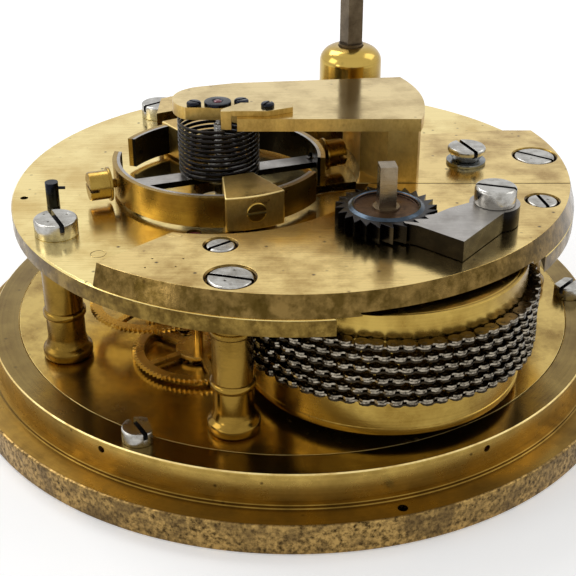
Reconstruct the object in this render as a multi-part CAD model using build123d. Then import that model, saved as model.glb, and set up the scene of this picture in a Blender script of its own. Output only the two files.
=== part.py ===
from build123d import *
import math
import os

# Deck chronometer movement in its mounting ring, seen from the back, dial down.
# Millimetres. The origin is the ring's axis at its underside, +Z up, +X to the right
# for someone who faces the barrel side of the movement.

# Mounting ring
flange_radius = 45.0
flange_thickness = 4.06
foot_radius = 42.0
foot_height = 0.5
wall_radius = 41.25
wall_height = 4.18
ledge_width = 2.3
ring_hole_radius = 0.45
flange_hole_radius = 0.6

# Plates and bridges
pillar_plate_radius = 37.61
pillar_plate_thickness = 2.54
back_plate_radius = 36.92
back_plate_thickness = 2.2
plug_radius = 0.91
bridge_thickness = 2.66
bridge_bevel = 0.78
joint_line_y = -6.4
fusee_bar_thickness = 4.5

# Pillars
pillar_height = 15.0
pillar_radius = 2.4
pillar_foot_radius = 3.15
pillar_circle = 32.8
pillar_angles = (-102.1, 5.1, -151.7, 128.0)

# Balance cock
cock_gap = 7.2
cock_thickness = 1.65
cock_foot_left = 12.0
clamp_thickness = 0.7

# Balance
balance_centre = (-9.6, -1.4)
rim_radius = 13.9
rim_width = 1.0
rim_height = 4.0
rim_lift = 0.56
arm_angle = 20.0
arm_width = 2.6
arm_thickness = 0.8
nut_radius = 1.85
nut_length = 2.9
rim_gap = 4.7
rim_overhang = 25.0
nut_flange_radius = 2.2
nut_flange = 0.35
weight_angle = -69.2
weight_span = 30.4
weight_depth = 5.4
weight_proud = 0.8
balance_sweep_gap = 0.55

# Hairspring
spring_radius = 5.16
spring_thickness = 0.28
spring_width = 0.44
spring_pitch = 0.82
spring_turns = 9.75
stud_angle = -78.0

# Barrel
barrel_centre = (11.0, -18.7)
barrel_radius = 17.2
barrel_height = 15.7
barrel_wall = 0.9
barrel_floor_gap = 1.36
barrel_arbor_radius = 1.6
square_side = 2.03
square_angle = 6.0
square_height = 4.6

# Chain
chain_width = 1.6
chain_depth = 0.95
chain_pitch = 1.42
chain_lift = 6.86
barrel_turns = 5.5
fusee_turns = 2.0
link_pitch = 1.73
link_plate = 0.27
link_end = 0.48

# Fusee
fusee_centre = (8.3, 17.5)
fusee_large = 15.4
fusee_small = 7.6
fusee_grooves = 8
fusee_arbor_radius = 1.7
winding_square = 2.3
winding_square_top = 50.0
boss_radius = 4.37
boss_top_radius = 2.9
boss_height = 9.0

# Set-up ratchet and click
ratchet_teeth = 24
ratchet_tip = 6.09
ratchet_root = 4.9
ratchet_thickness = 2.2
ratchet_hub = 4.5
click_pivot = (23.9, -18.1)
click_thickness = 2.5
click_boss = 3.0

# Going train: teeth, leaves and centres
centre = (0.0, 0.0)
third_centre = (-12.1, -15.5)
fourth_centre = (-18.41, -8.62)
escape_centre = (-18.7, 0.6)
great_teeth = 96
centre_leaves = 14
centre_teeth = 75
third_teeth = 80
fourth_teeth = 80
train_leaves = 10
great_thickness = 1.0
wheel_thickness = 0.55
escape_teeth = 15
escape_tip = 5.95
roller_radius = 3.15

# Dial side
dial_radius = 35.0
dial_thickness = 1.0
dial_gap = 1.5
up_down_centre = (18.41, 8.62)
up_down_teeth = 65
up_down_leaves = 7
cannon_leaves = 12
minute_teeth = 36
minute_leaves = 10
hour_teeth = 40
motion_angle = 215.0
motion_distance = 6.0
hand_thickness = 0.25

# Clearances
joint_gap = 0.06
running_gap = 0.03
seat_gap = 0.02
side_gap = 0.1

# Heights worked out from the sizes above
ring_top = flange_thickness + wall_height
pillar_plate_low = ring_top - pillar_plate_thickness
back_low = ring_top + pillar_height
back_top = back_low + back_plate_thickness
bridge_top = back_top + bridge_thickness
bar_top = back_top + fusee_bar_thickness
cock_low = bridge_top + cock_gap
cock_top = cock_low + cock_thickness
dial_high = pillar_plate_low - dial_gap
dial_low = dial_high - dial_thickness
rim_low = back_top + rim_lift
rim_high = rim_low + rim_height
rim_middle = rim_low + rim_height / 2
nut_reach = rim_radius + 0.7 + nut_length
weight_outer = rim_radius + weight_proud
sweep_radius = nut_reach + 0.35 + balance_sweep_gap
barrel_low = ring_top + barrel_floor_gap
barrel_high = barrel_low + barrel_height
chain_low = ring_top + chain_lift
chain_radius = barrel_radius + chain_width / 2 + seat_gap
ratchet_low = bridge_top + 0.2
ratchet_high = ratchet_low + ratchet_thickness
click_low = bridge_top + side_gap
click_high = click_low + click_thickness
great_low = ring_top + 0.76
great_high = great_low + great_thickness
centre_wheel_low = ring_top - 0.64
third_wheel_low = ring_top + 0.48
fourth_wheel_low = ring_top + 3.6
stop_arm_thickness = 0.6
stop_arm_low = back_low - 1.5
cone_flange_radius = fusee_small + 0.9
escape_wheel_low = back_low - 2.24


def spot(origin, angle, reach):
    """Point at a reach and an angle in degrees from an origin in plan."""
    turn = math.radians(angle)
    return (origin[0] + reach * math.cos(turn), origin[1] + reach * math.sin(turn))


def distance(first, second):
    return math.hypot(second[0] - first[0], second[1] - first[1])


def bearing(first, second):
    """Direction in degrees from one point in plan to another."""
    return math.degrees(math.atan2(second[1] - first[1], second[0] - first[0]))


plan_share = distance(barrel_centre, fusee_centre) / math.hypot(2.7, 36.2)


def plan(*points):
    """Places drawn for a barrel and a fusee 36.3 mm apart, at their real distance."""
    return [(x * plan_share, y * plan_share) for x, y in points]


def disc(radius, low, high, at=(0, 0)):
    base = (Align.CENTER, Align.CENTER, Align.MIN)
    return Pos(at[0], at[1], low) * Cylinder(radius, high - low, align=base)


def collar(outer, inner, low, high, at=(0, 0)):
    return disc(outer, low, high, at) - disc(inner, low - 1, high + 1, at)


def turned(profile, at=(0, 0)):
    """Solid turned about a vertical axis from points of radius and height."""
    outline = Polyline(*[(radius, 0, height) for radius, height in profile], close=True)
    return Pos(at[0], at[1], 0) * revolve(make_face(outline), Axis.Z)


def slab(points, low, high):
    """Flat piece with upright sides over an outline of straight lines."""
    face = Pos(0, 0, low) * make_face(Polyline(*points, close=True))
    return extrude(face, high - low, dir=(0, 0, 1))


def block(size_x, size_y, low, high, at, angle=0.0):
    base = (Align.CENTER, Align.CENTER, Align.MIN)
    return Pos(at[0], at[1], low) * Rot(0, 0, angle) * Box(size_x, size_y, high - low, align=base)


def strap(start, end, width, low, high):
    """Flat bar with round ends between two points."""
    middle = ((start[0] + end[0]) / 2, (start[1] + end[1]) / 2)
    outline = SlotCenterToCenter(distance(start, end), width)
    face = Pos(middle[0], middle[1], low) * Rot(0, 0, bearing(start, end)) * outline
    return extrude(face, high - low, dir=(0, 0, 1))


def screw(head_radius, head_height, shank_radius, shank_length, seat, at, slot_angle, slot=0.5):
    """Slotted screw with a chamfered head that stands on a seat height."""
    edge = min(0.25, head_height / 3)
    body = turned([
        (0, seat - shank_length), (shank_radius, seat - shank_length), (shank_radius, seat),
        (head_radius, seat), (head_radius, seat + head_height - edge),
        (head_radius - edge, seat + head_height), (0, seat + head_height),
    ], at)
    depth = min(0.55, head_height / 2)
    top = seat + head_height
    return body - block(3 * head_radius, slot, top - depth, top + 1, at, slot_angle)


# Toothed wheels

def toothed(profile, teeth, low, high, at, first):
    """Toothed disc from one tooth's points of radius and share of the pitch."""
    pitch = 360.0 / teeth
    points = []
    for tooth in range(teeth):
        for radius, share in profile:
            points.append(spot(at, first + pitch * (tooth + share), radius))
    return slab(points, low, high)


def wheel(teeth, radius, low, high, at, toward):
    """Wheel with pointed teeth, one of them centred on the direction toward."""
    module = 2 * radius / teeth
    root = radius - 1.25 * module
    profile = [(root, -0.4), (radius + 0.95 * module, 0.0), (root, 0.4)]
    return toothed(profile, teeth, low, high, at, toward)


def pinion(leaves, radius, low, high, at, toward):
    """Pinion with a gap between two leaves centred on the direction toward."""
    module = 2 * radius / leaves
    root = radius - 1.25 * module
    tip = radius + 0.6 * module
    profile = [(root, -0.27), (tip, -0.13), (tip, 0.13), (root, 0.27)]
    return toothed(profile, leaves, low, high, at, toward + 180.0 / leaves)


def crossings(outer, inner, spokes, width, low, high, at, first):
    """The openings between a wheel's spokes."""
    openings = collar(outer, inner, low - 1, high + 1, at)
    for spoke in range(spokes):
        angle = first + 360.0 * spoke / spokes
        middle = spot(at, angle, (outer + inner) / 2)
        openings -= block(outer - inner + 2, width, low - 2, high + 2, middle, angle)
    return openings


def pitch_radii(first_teeth, second_teeth, first_at, second_at):
    """Pitch radii of two wheels in mesh, from their teeth and their centres."""
    reach = distance(first_at, second_at)
    first = reach * first_teeth / (first_teeth + second_teeth)
    return first, reach - first


# Wound forms


def biarc(start, end, leave, arrive):
    """Two arcs that join two points along their directions."""
    span = end - start
    total = leave + arrive
    bend = 2 * (1 - leave.dot(arrive))
    along = span.dot(total)
    reach = (math.sqrt(along * along + bend * span.dot(span)) - along) / bend
    first = start + leave * reach
    second = end - arrive * reach
    middle = (first + second) * 0.5
    across = (second - first).normalized()
    return [TangentArc(start, middle, tangent=leave), TangentArc(middle, end, tangent=across)]


def coil_wire(point_at, quarters, tail):
    """Wire round a coil, as two arcs a quarter turn, with a straight tail at each end."""
    def heading(turn):
        return (point_at(turn + 0.0005) - point_at(turn - 0.0005)).normalized()

    first = point_at(0.0)
    last = point_at(quarters / 4)
    edges = [Line(first - heading(0.0) * tail, first)]
    for quarter in range(quarters):
        low = quarter / 4
        high = (quarter + 1) / 4
        edges += biarc(point_at(low), point_at(high), heading(low), heading(high))
    edges.append(Line(last, last + heading(quarters / 4) * tail))
    return Wire([edge.edge() for edge in edges]), first - heading(0.0) * tail, heading(0.0)


def least_gap(point_at, turns, thickness):
    """Least gap between neighbouring turns, measured on points of the centre line."""
    step = 1 / 36
    points = [point_at(index * step) for index in range(int(turns / step) + 1)]
    near = min(
        (points[i] - points[j]).length
        for i in range(len(points)) for j in range(i + 18, len(points))
    )
    return near - thickness


def helix(at, radius_at, angle, start_height, rise, sense):
    """Function that gives the point on a coil after a number of turns."""
    def point_at(turn):
        plan = spot(at, angle + sense * 360.0 * turn, radius_at(turn))
        return Vector(plan[0], plan[1], start_height + rise * turn)
    return point_at


def hairspring():
    top = cock_top - 1.0
    start_angle = stud_angle - 360.0 * (spring_turns % 1)
    bottom = top - spring_pitch * spring_turns
    point_at = helix(balance_centre, lambda turn: spring_radius, start_angle, bottom, spring_pitch, 1)
    print("hairspring least gap", round(least_gap(point_at, spring_turns, spring_width), 3))
    return band(point_at, round(4 * spring_turns), start_angle, balance_centre, spring_thickness, spring_width)


def fusee_floor(height):
    """Radius of the fusee at a height, from its large end up to its small end."""
    low = chain_low - fusee_turns * chain_pitch
    share = (height - low) / (fusee_grooves * chain_pitch)
    return fusee_large - (fusee_large - fusee_small) * share


def run_ends():
    """Direction square to the straight run, and where it leaves the barrel and the fusee."""
    fusee_reach = fusee_floor(chain_low) + chain_width / 2 + seat_gap
    apart = distance(barrel_centre, fusee_centre)
    lean = math.degrees(math.acos((chain_radius - fusee_reach) / apart))
    side = bearing(barrel_centre, fusee_centre) - lean
    return side, spot(barrel_centre, side, chain_radius), spot(fusee_centre, side, fusee_reach)


def band(point_at, quarters, side, axis_at, across, upright):
    """Flat band wound round an axis, its faces always square to that axis."""
    path, start, direction = coil_wire(point_at, quarters, upright)
    outward = spot((0, 0), side, 1.0)
    face = Plane(start, x_dir=(outward[0], outward[1], 0), z_dir=direction)
    guide = Line((axis_at[0], axis_at[1], start.Z), (axis_at[0], axis_at[1], path.position_at(1).Z))
    return sweep(face * Rectangle(across, upright), path=path, binormal=guide.edge())


def chain_on_barrel():
    side = run_ends()[0]
    point_at = helix(barrel_centre, lambda turn: chain_radius, side, chain_low, chain_pitch, -1)
    gap = least_gap(point_at, barrel_turns, chain_depth)
    print("chain on barrel least gap", round(gap, 3))
    return band(point_at, round(4 * barrel_turns), side, barrel_centre, chain_width, chain_depth)


def chain_on_fusee():
    side = run_ends()[0]

    def reach(turn):
        return fusee_floor(chain_low - chain_pitch * turn) + chain_width / 2 + seat_gap

    point_at = helix(fusee_centre, reach, side, chain_low, -chain_pitch, 1)
    print("chain on fusee least gap", round(least_gap(point_at, fusee_turns, chain_depth), 3))
    return band(point_at, round(4 * fusee_turns), side, fusee_centre, chain_width, chain_depth)


def link_outline(length):
    """Waisted outline of one chain plate, from its rivets' distance."""
    half = length / 2
    wide = 0.94 * chain_width / 2
    lower = [
        (-half - link_end, -0.45 * wide), (-half, -wide), (0, -0.62 * wide), (half, -wide),
        (half + link_end, -0.45 * wide),
    ]
    return lower + [(x, -y) for x, y in reversed(lower)]


def chain_run():
    """Straight run of real links from the barrel to the fusee."""
    side, start, end = run_ends()
    along = side + 90.0
    clear = chain_depth + 0.1 + link_end
    free = distance(start, end) - 2 * clear
    count = round(free / link_pitch)
    spacing = free / count
    low = chain_low - chain_depth / 2
    links = []
    for index in range(count):
        middle = spot(start, along, clear + spacing * (index + 0.5))
        levels = [link_plate + 0.01] if index % 2 else [0.0, 2 * link_plate + 0.02]
        for level in levels:
            plate = slab(link_outline(spacing), low + level, low + level + link_plate)
            links.append(Pos(middle[0], middle[1], 0) * Rot(0, 0, along) * plate)
    for index in range(count + 1):
        place = spot(start, along, clear + spacing * index)
        rivet = Pos(place[0], place[1], low + 3 * link_plate + 0.02) * RegularPolygon(0.3, 6)
        links.append(extrude(rivet, 0.06, dir=(0, 0, 1)))
    return links


# Frame of the movement

pillar_spots = [spot(centre, angle, pillar_circle) for angle in pillar_angles]
dog_angles = (-117.3, 0.3, 121.0)
dog_circle = pillar_plate_radius + 1.09
dial_foot_angles = (60.0, 180.0, 300.0)
small_spots = plan((-8.34, -24.17), (31.0, -11.75))
flush_large = (pillar_spots[0] + (2.6, 164.5), pillar_spots[1] + (2.66, 144.5))
flush_small = (small_spots[0] + (1.68, 39.0), small_spots[1] + (1.85, 101.0))
flush_head = 1.3
collar_screw_at, cock_screw_at = plan((23.1, 0.7), (13.9, 3.2))
fusee_bar_screws = plan((-14.0, 18.6), (14.6, 19.6))
stop_pin_at, side_hole_at, plug_at = plan((-30.7, -7.3), (-34.9, -5.1), (-23.0, -21.3))
cock_screw_radius = 0.9
motion_stud = spot(centre, motion_angle, motion_distance)
potence_foot_at = spot(balance_centre, 60.0, 7.0)
maintaining_tip = 15.4
maintaining_angle = 140.0
maintaining_pivot = spot(fusee_centre, maintaining_angle, 18.6)
detent_angle = bearing(escape_centre, balance_centre) + 39.8
stop_angle = 175.0
stop_pin_reach = 14.2
stop_arm_at = spot(fusee_centre, stop_angle, 15.0)


def detent_point(along, aside):
    """Point beside the escape wheel, measured along the detent and out from the wheel."""
    return spot(spot(escape_centre, detent_angle, along), detent_angle - 90.0, aside)


def mounting_ring():
    bore = dial_radius + 0.3
    inner = pillar_plate_radius + joint_gap
    ring = turned([
        (bore, 0), (flange_radius - 0.3, 0), (flange_radius, 0.3),
        (flange_radius, flange_thickness - 0.3), (flange_radius - 0.3, flange_thickness),
        (foot_radius, flange_thickness), (foot_radius, flange_thickness + foot_height),
        (wall_radius, flange_thickness + foot_height), (wall_radius, ring_top - 0.15),
        (wall_radius - 0.15, ring_top), (inner, ring_top), (inner, pillar_plate_low),
        (bore, pillar_plate_low),
    ])
    for angle in dog_angles:
        hole = disc(0.8 + running_gap, ring_top - 3.0, ring_top + 1, spot(centre, angle, dog_circle))
        ring -= hole
    for angle in (-122.5, -57.05):
        at = spot(centre, angle, wall_radius)
        ring -= Pos(at[0], at[1], ring_top - 1.25) * Rot(0, 0, angle) * Rot(0, 90, 0) * \
            Cylinder(ring_hole_radius, 3)
    ring -= disc(flange_hole_radius, 0.6, flange_thickness + 1, spot(centre, -73.7, 43.54))
    return ring


def dog_screws():
    screws = []
    for angle in dog_angles:
        at = spot(centre, angle, dog_circle)
        dog = screw(1.75, 1.3, 0.8, 2.6, ring_top, at, angle + 49, 0.5)
        flat = spot(at, angle + 137, 1.15 + 1.0)
        screws.append(dog - block(2, 5, ring_top - 0.01, ring_top + 3, flat, angle + 137))
    return screws


def pillar_plate():
    plate = disc(pillar_plate_radius, pillar_plate_low, ring_top)
    wheel_reach = pitch_radii(centre_teeth, train_leaves, centre, third_centre)[0]
    plate -= disc(wheel_reach + 0.85, centre_wheel_low - 0.3, ring_top + 1)
    plate -= disc(2.95, centre_wheel_low - 0.3, ring_top + 1, third_centre)
    holes = [
        (centre, 1.1), (third_centre, 0.5), (fourth_centre, 0.45), (escape_centre, 0.4),
        (fusee_centre, 1.2), (barrel_centre, barrel_arbor_radius), (maintaining_pivot, 0.5),
        (motion_stud, 0.6), (up_down_centre, 0.6),
    ]
    for at, radius in holes:
        plate -= disc(radius + running_gap, pillar_plate_low - 1, ring_top + 1, at)
    for at in pillar_spots:
        plate -= disc(1.5, pillar_plate_low - 1, ring_top + 1, at)
    for angle in dial_foot_angles:
        plate -= disc(0.9, pillar_plate_low - 1, pillar_plate_low + 1.6, spot(centre, angle, dial_radius - 3))
    return plate


def pillars():
    """Four turned pillars with a round foot, a ring moulding and a bead."""
    solids = []
    for at in pillar_spots:
        foot = turned([
            (0, pillar_plate_low), (1.5, pillar_plate_low), (1.5, ring_top), (2.75, ring_top),
            (pillar_foot_radius, ring_top + 0.45), (pillar_foot_radius, ring_top + 1.2),
            (2.75, ring_top + 1.7), (2.55, ring_top + 2.3), (pillar_radius, ring_top + 3.1),
            (pillar_radius, ring_top + 5.8), (2.7, ring_top + 6.1), (2.7, ring_top + 6.6),
            (pillar_radius, ring_top + 6.9), (pillar_radius, back_low - 2.1),
            (2.62, back_low - 1.9), (2.62, back_low - 1.5), (pillar_radius, back_low - 1.3),
            (pillar_radius, back_low), (0, back_low),
        ], at)
        solids.append(foot - disc(0.9, back_low - 5, back_low + 1, at))
    return solids


def back_plate():
    plate = turned([
        (0, back_low), (back_plate_radius, back_low), (back_plate_radius, back_top - 0.2),
        (back_plate_radius - 0.2, back_top), (0, back_top),
    ])
    plate -= disc(chain_radius + chain_width / 2 + 2 * side_gap, back_low - 1, back_top + 1, barrel_centre)
    holes = [
        (balance_centre, roller_radius + 0.35), (centre, 0.6), (third_centre, 0.9),
        (fourth_centre, 0.9), (escape_centre, 0.9), (maintaining_pivot, 0.4),
    ]
    for at, radius in holes:
        plate -= disc(radius + running_gap, back_low - 1, back_top + 1, at)
    plate -= disc(fusee_arbor_radius + 0.6, back_low - 1, back_top + 1, fusee_centre)
    for at in pillar_spots:
        plate -= disc(0.9, back_low - 1, back_top + 1, at)
    for at in small_spots:
        plate -= disc(0.8, back_low - 1, back_top + 1, at)
    for at in fusee_bar_screws + [cock_screw_at, collar_screw_at]:
        plate -= disc(cock_screw_radius, back_low - 1, back_top + 1, at)
    plate -= disc(0.5, back_low + 0.8, back_top + 1, side_hole_at)
    plate -= disc(plug_radius + seat_gap, back_low - 1, back_top + 1, plug_at)
    return [plate, disc(plug_radius, back_low, back_top, plug_at)]


def bevelled(radius, low, high):
    base = (Align.CENTER, Align.CENTER, Align.MIN)
    return Pos(0, 0, low) * Cone(radius, radius - bridge_bevel, high - low, align=base)


def flush_hole(x, y, head):
    """Cutter for a screw that lies flush, with a broken edge round its head."""
    low = bridge_top - flush_head
    return turned([
        (0, low), (head + 0.2, low), (head + 0.2, bridge_top - 0.2), (head + 0.5, bridge_top + 0.1),
        (head + 0.5, bridge_top + 1), (0, bridge_top + 1),
    ], (x, y))


def barrel_bar():
    """Front bridge over the barrel, hollowed underneath, with a bevelled rim."""
    bar = bevelled(back_plate_radius, back_top, bridge_top)
    big = 3 * back_plate_radius
    bar -= block(big, big, back_top - 1, bridge_top + 1, (0, joint_line_y + big / 2))
    left_edge = plan((-14.2, -20.85), (-22.33, -29.04), (-40, -50), (-60, 0), (-14.2, -6.0))
    bar -= slab(left_edge, back_top - 1, bridge_top + 1)
    bar -= disc(20.0, back_top - 1, bridge_top + 1, balance_centre)
    bar -= disc(barrel_radius + 0.6, back_top - 1, back_top + 0.4, barrel_centre)
    bar -= disc(barrel_arbor_radius + running_gap, back_top - 1, bridge_top + 1, barrel_centre)
    bar -= disc(0.8, back_top - 1, bridge_top + 1, click_pivot)
    for x, y, head, slot in (flush_large[0],) + flush_small:
        bar -= flush_hole(x, y, head)
        bar -= disc(0.8, back_top - 1, bridge_top + 1, (x, y))
    return bar


def rear_bridge():
    """Bridge flush with the barrel bar, which the cock stands on."""
    bridge = bevelled(back_plate_radius, back_top, bridge_top)
    edge = joint_line_y + seat_gap
    rear = plan((45, 12.5), (30.2, 12.5), (18.7, 10.95), (2.0, 8.7))
    bridge &= slab([(rear[3][0], edge), (rear[0][0], edge)] + rear, back_top - 1, bridge_top + 1)
    bridge -= disc(sweep_radius, back_top - 1, bridge_top + 1, balance_centre)
    x, y, head, slot = flush_large[1]
    bridge -= flush_hole(x, y, head)
    for at in ((x, y), collar_screw_at, cock_screw_at):
        bridge -= disc(0.9, back_top - 1, bridge_top + 1, at)
    return bridge


def bridge_screws():
    """Screws let in flush with the top of the two bridges."""
    solids = []
    for x, y, head, slot in flush_large + flush_small:
        shank = bridge_thickness - flush_head + back_plate_thickness - 0.2
        solids.append(screw(head, flush_head, 0.8, shank, bridge_top - flush_head, (x, y), slot, 0.6))
    return solids


def fusee_bar():
    """Raised bar that carries the upper end of the fusee arbor."""
    outline = plan((-19.3, 13.0), (4.2, 11.4), (17.0, 12.2), (17.0, 22.6), (-16.5, 22.6), (-19.3, 20.6))
    hollow = plan((-9.0, 10.0), (11.5, 10.0), (11.5, 24.0), (-9.0, 24.0))
    bar = slab(outline, back_top, bar_top) - slab(hollow, back_top - 1, back_top + 1.6)
    bar -= disc(sweep_radius, back_top - 1, bar_top + 1, balance_centre)
    bar -= disc(fusee_arbor_radius + running_gap, back_top - 1, bar_top + 1, fusee_centre)
    for at in fusee_bar_screws:
        bar -= disc(cock_screw_radius, back_top - 1, bar_top + 1, at)
        bar -= disc(1.9, bar_top - 1.3, bar_top + 1, at)
    return bar


def winding_boss():
    top = bar_top + boss_height
    bore = fusee_arbor_radius + 0.1
    return turned([
        (bore, bar_top), (boss_radius + 0.5, bar_top), (boss_radius + 0.5, bar_top + 0.6),
        (boss_radius, bar_top + 0.9), (boss_radius, top - 2.0), (boss_radius - 0.35, top - 1.1),
        (boss_radius - 0.85, top - 0.35), (boss_top_radius, top), (bore, top),
    ], fusee_centre)


def plate_screws():
    """Screws of the fusee bar, and the cock's screw, which comes up from under the back plate."""
    solids = []
    for at in fusee_bar_screws:
        solids.append(screw(1.8, 1.25, 0.85, 5.0, bar_top - 1.3, at, 30.0))
    low = back_low - 1.5
    shank = disc(0.85, back_low, bridge_top + 3.4, cock_screw_at)
    head = disc(1.7, low, back_low, cock_screw_at) - block(4, 0.5, low - 1, low + 0.5, cock_screw_at, 40.0)
    return solids + [head + shank]


def collar_screw():
    body = turned([
        (0, bridge_top - 3.4), (0.85, bridge_top - 3.4), (0.85, bridge_top + 0.45),
        (1.7, bridge_top + 0.45), (2.5, bridge_top + 1.7), (2.5, bridge_top + 2.1),
        (2.3, bridge_top + 2.3), (0, bridge_top + 2.3),
    ], collar_screw_at)
    return body - block(8, 0.55, bridge_top + 1.7, bridge_top + 4, collar_screw_at, 112.0)


def collar_washer():
    return collar(2.6, 0.87, bridge_top, bridge_top + 0.43, collar_screw_at)


def pillar_screws():
    """Cheese-headed screws into the two pillars that the bridges leave open."""
    solids = []
    for at, slot in ((pillar_spots[2], 107.0), (pillar_spots[3], 40.0)):
        head = screw(2.67, 2.06, 0.85, back_plate_thickness + 4, back_top, at, slot, 0.55)
        solids.append(head)
    return solids


def stop_pin():
    pin = disc(0.84, back_top, back_top + 3.2, stop_pin_at)
    side = Pos(stop_pin_at[0] + 1.0, stop_pin_at[1], back_top + 2.4) * Rot(0, 90, 0) * Cylinder(0.2, 1.4)
    return pin + side


# Balance cock and what it carries

cap_screw_angle = 8.0
cap_screw_reach = 3.05
stud_screw_at = plan((-3.15, -4.2))[0]


def cock_outline(low, high):
    """Cock seen from above: round nose, notch for the stud, and a rounded foot end."""
    (front_right, foot_side, foot_back, back, shoulder, nose_back, nose, nose_front, notch, notch_front,
     front_left) = plan(
        (16.0, -6.93), (16.96, -0.3), (14.67, 9.39), (3.74, 8.12), (-7.7, 6.87), (-12.31, 5.43),
        (-15.6, 0.5), (-13.69, -2.75), (-8.6, -2.9), (-7.05, -4.05), (-6.92, -6.93))
    edges = [
        ThreePointArc(front_right, foot_side, foot_back),
        Polyline(foot_back, back, shoulder, nose_back),
        ThreePointArc(nose_back, nose, nose_front),
        Polyline(nose_front, notch, notch_front, front_left, front_right),
    ]
    face = Pos(0, 0, low) * make_face(Curve() + edges)
    return extrude(face, high - low, dir=(0, 0, 1))


def balance_cock():
    """Cock with a thin arm over the balance, a tall foot and a notch for the stud."""
    arm = cock_outline(cock_low, cock_top)
    foot_step = 0.35
    foot = Pos(-foot_step, 0, 0) * cock_outline(bridge_top, cock_low + 0.2)
    corner = plan((18.0, 12.0), (7.0, 12.0), (7.0, 0.0))
    foot &= slab([(cock_foot_left, joint_line_y), (corner[0][0], joint_line_y)] + corner,
                 bridge_top, cock_low + 0.2)
    foot -= disc(sweep_radius, bridge_top - 1, cock_low + 1, balance_centre)
    cock = arm + foot
    cock -= disc(spring_radius + 0.85, cock_low - 1, cock_top - 0.6, balance_centre)
    cock -= disc(0.6, cock_low - 1, cock_top + 1, balance_centre)
    cock -= disc(0.87, bridge_top - 1, bridge_top + 3.6, cock_screw_at)
    for sign in (-1, 1):
        at = spot(balance_centre, cap_screw_angle, sign * cap_screw_reach)
        cock -= disc(0.4, cock_low - 1, cock_top + 1, at)
    return cock - disc(0.45, cock_low - 1, cock_top + 1, stud_screw_at)


def endstone_cap():
    cap = turned([
        (0.55, cock_top), (1.75, cock_top), (1.75, cock_top + 0.3), (1.6, cock_top + 0.42),
        (0.55, cock_top + 0.42),
    ], balance_centre)
    return cap


def cap_screws():
    solids = []
    for sign in (-1, 1):
        at = spot(balance_centre, cap_screw_angle, sign * cap_screw_reach)
        solids.append(screw(0.95, 0.5, 0.38, 1.2, cock_top, at, 30.0 * sign, 0.3))
    return solids


def jewels():
    """Ruby bearings: the end-stone, and the holes in the back plate."""
    stone = turned([
        (0, cock_top + 0.1), (0.53, cock_top + 0.1), (0.53, cock_top + 0.4),
        (0.3, cock_top + 0.52), (0, cock_top + 0.55),
    ], balance_centre)
    solids = [stone]
    for at in (third_centre, fourth_centre, escape_centre):
        solids.append(collar(0.9, 0.3 + running_gap, back_top - 1.2, back_top - 0.3, at))
    return solids


def stud_clamp():
    """Clamp plate on the cock with a leg that holds the hairspring's upper end."""
    high = cock_top + clamp_thickness
    outline = plan((-8.8, -5.1), (-8.6, -6.0), (-3.1, -6.0), (0.04, -4.53), (-0.1, -2.9), (-6.6, -2.9))
    plate = slab(outline, cock_top, high)
    hole = spot(balance_centre, stud_angle, spring_radius)
    leg = block(1.3, 0.8, cock_top - cock_thickness - 0.1, high, (hole[0] + 0.2, hole[1] + 0.72))
    return plate + leg - disc(0.45, cock_top - 3, cock_top + 3, stud_screw_at)


def stud_screw():
    return screw(0.85, 0.5, 0.43, 1.6, cock_top + clamp_thickness, stud_screw_at, 60.0, 0.3)


# Balance

def rim_ring(outer, inner):
    """Ring cut through at two opposite places, so that each half hangs on one end of the arm."""
    body = collar(outer, inner, rim_low, rim_high, balance_centre)
    cut_angle = arm_angle - rim_overhang - math.degrees(rim_gap / 2 / rim_radius)
    for turn in (0, 180):
        at = spot(balance_centre, cut_angle + turn, (outer + inner) / 2)
        body -= block(outer - inner + 1, rim_gap, rim_low - 1, rim_high + 1, at, cut_angle + turn)
    return body


def rim_holes():
    """Holes through the rim for the timing studs and the weight screws."""
    holes = []
    for angle in (arm_angle, arm_angle + 180, weight_angle, weight_angle + 180):
        at = spot(balance_centre, angle, rim_radius)
        holes.append(Pos(at[0], at[1], rim_middle) * Rot(0, 0, angle) * Rot(0, 90, 0) * Cylinder(0.6, 3))
    return holes


def balance_arm():
    """Steel arm with the inner, steel part of the bimetallic rim."""
    inner = rim_radius - rim_width
    low = rim_low + 0.8
    arm = block(2 * inner + 0.2, arm_width, low, low + arm_thickness, balance_centre, arm_angle)
    hub = disc(1.9, low, low + arm_thickness + 0.5, balance_centre)
    solid = rim_ring(rim_radius - 0.6 * rim_width, inner) + arm + hub
    for hole in rim_holes():
        solid -= hole
    return solid - disc(0.8, low - 1, low + 4, balance_centre)


def balance_rim():
    rim = rim_ring(rim_radius, rim_radius - 0.6 * rim_width)
    for hole in rim_holes():
        rim -= hole
    return rim


def balance_weights():
    """Two compensation weights clamped round the rim, with a chord for an inner face."""
    inner = rim_radius - rim_width
    solids = []
    for turn in (0, 180):
        angle = weight_angle + turn
        low = spot(balance_centre, angle - weight_span / 2, 1.3 * weight_outer)
        high = spot(balance_centre, angle + weight_span / 2, 1.3 * weight_outer)
        sector = disc(weight_outer, rim_low - 0.3, rim_high + 0.2, balance_centre)
        sector &= slab([balance_centre, low, high], rim_low - 1, rim_high + 1)
        near = spot(balance_centre, angle, inner - weight_depth - 10)
        sector -= block(20, 30, rim_low - 1, rim_high + 1, near, angle)
        sector -= collar(rim_radius + seat_gap, inner - seat_gap, rim_low - seat_gap, rim_high + seat_gap,
                         balance_centre)
        turn_to = Pos(balance_centre[0], balance_centre[1], rim_middle) * Rot(0, 0, angle) * Rot(0, 90, 0)
        sector -= turn_to * disc(0.6, inner - 2, weight_outer + 1)
        sector -= turn_to * disc(1.32, weight_outer - 0.45, weight_outer + 1)
        solids.append(sector)
    return solids


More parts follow.
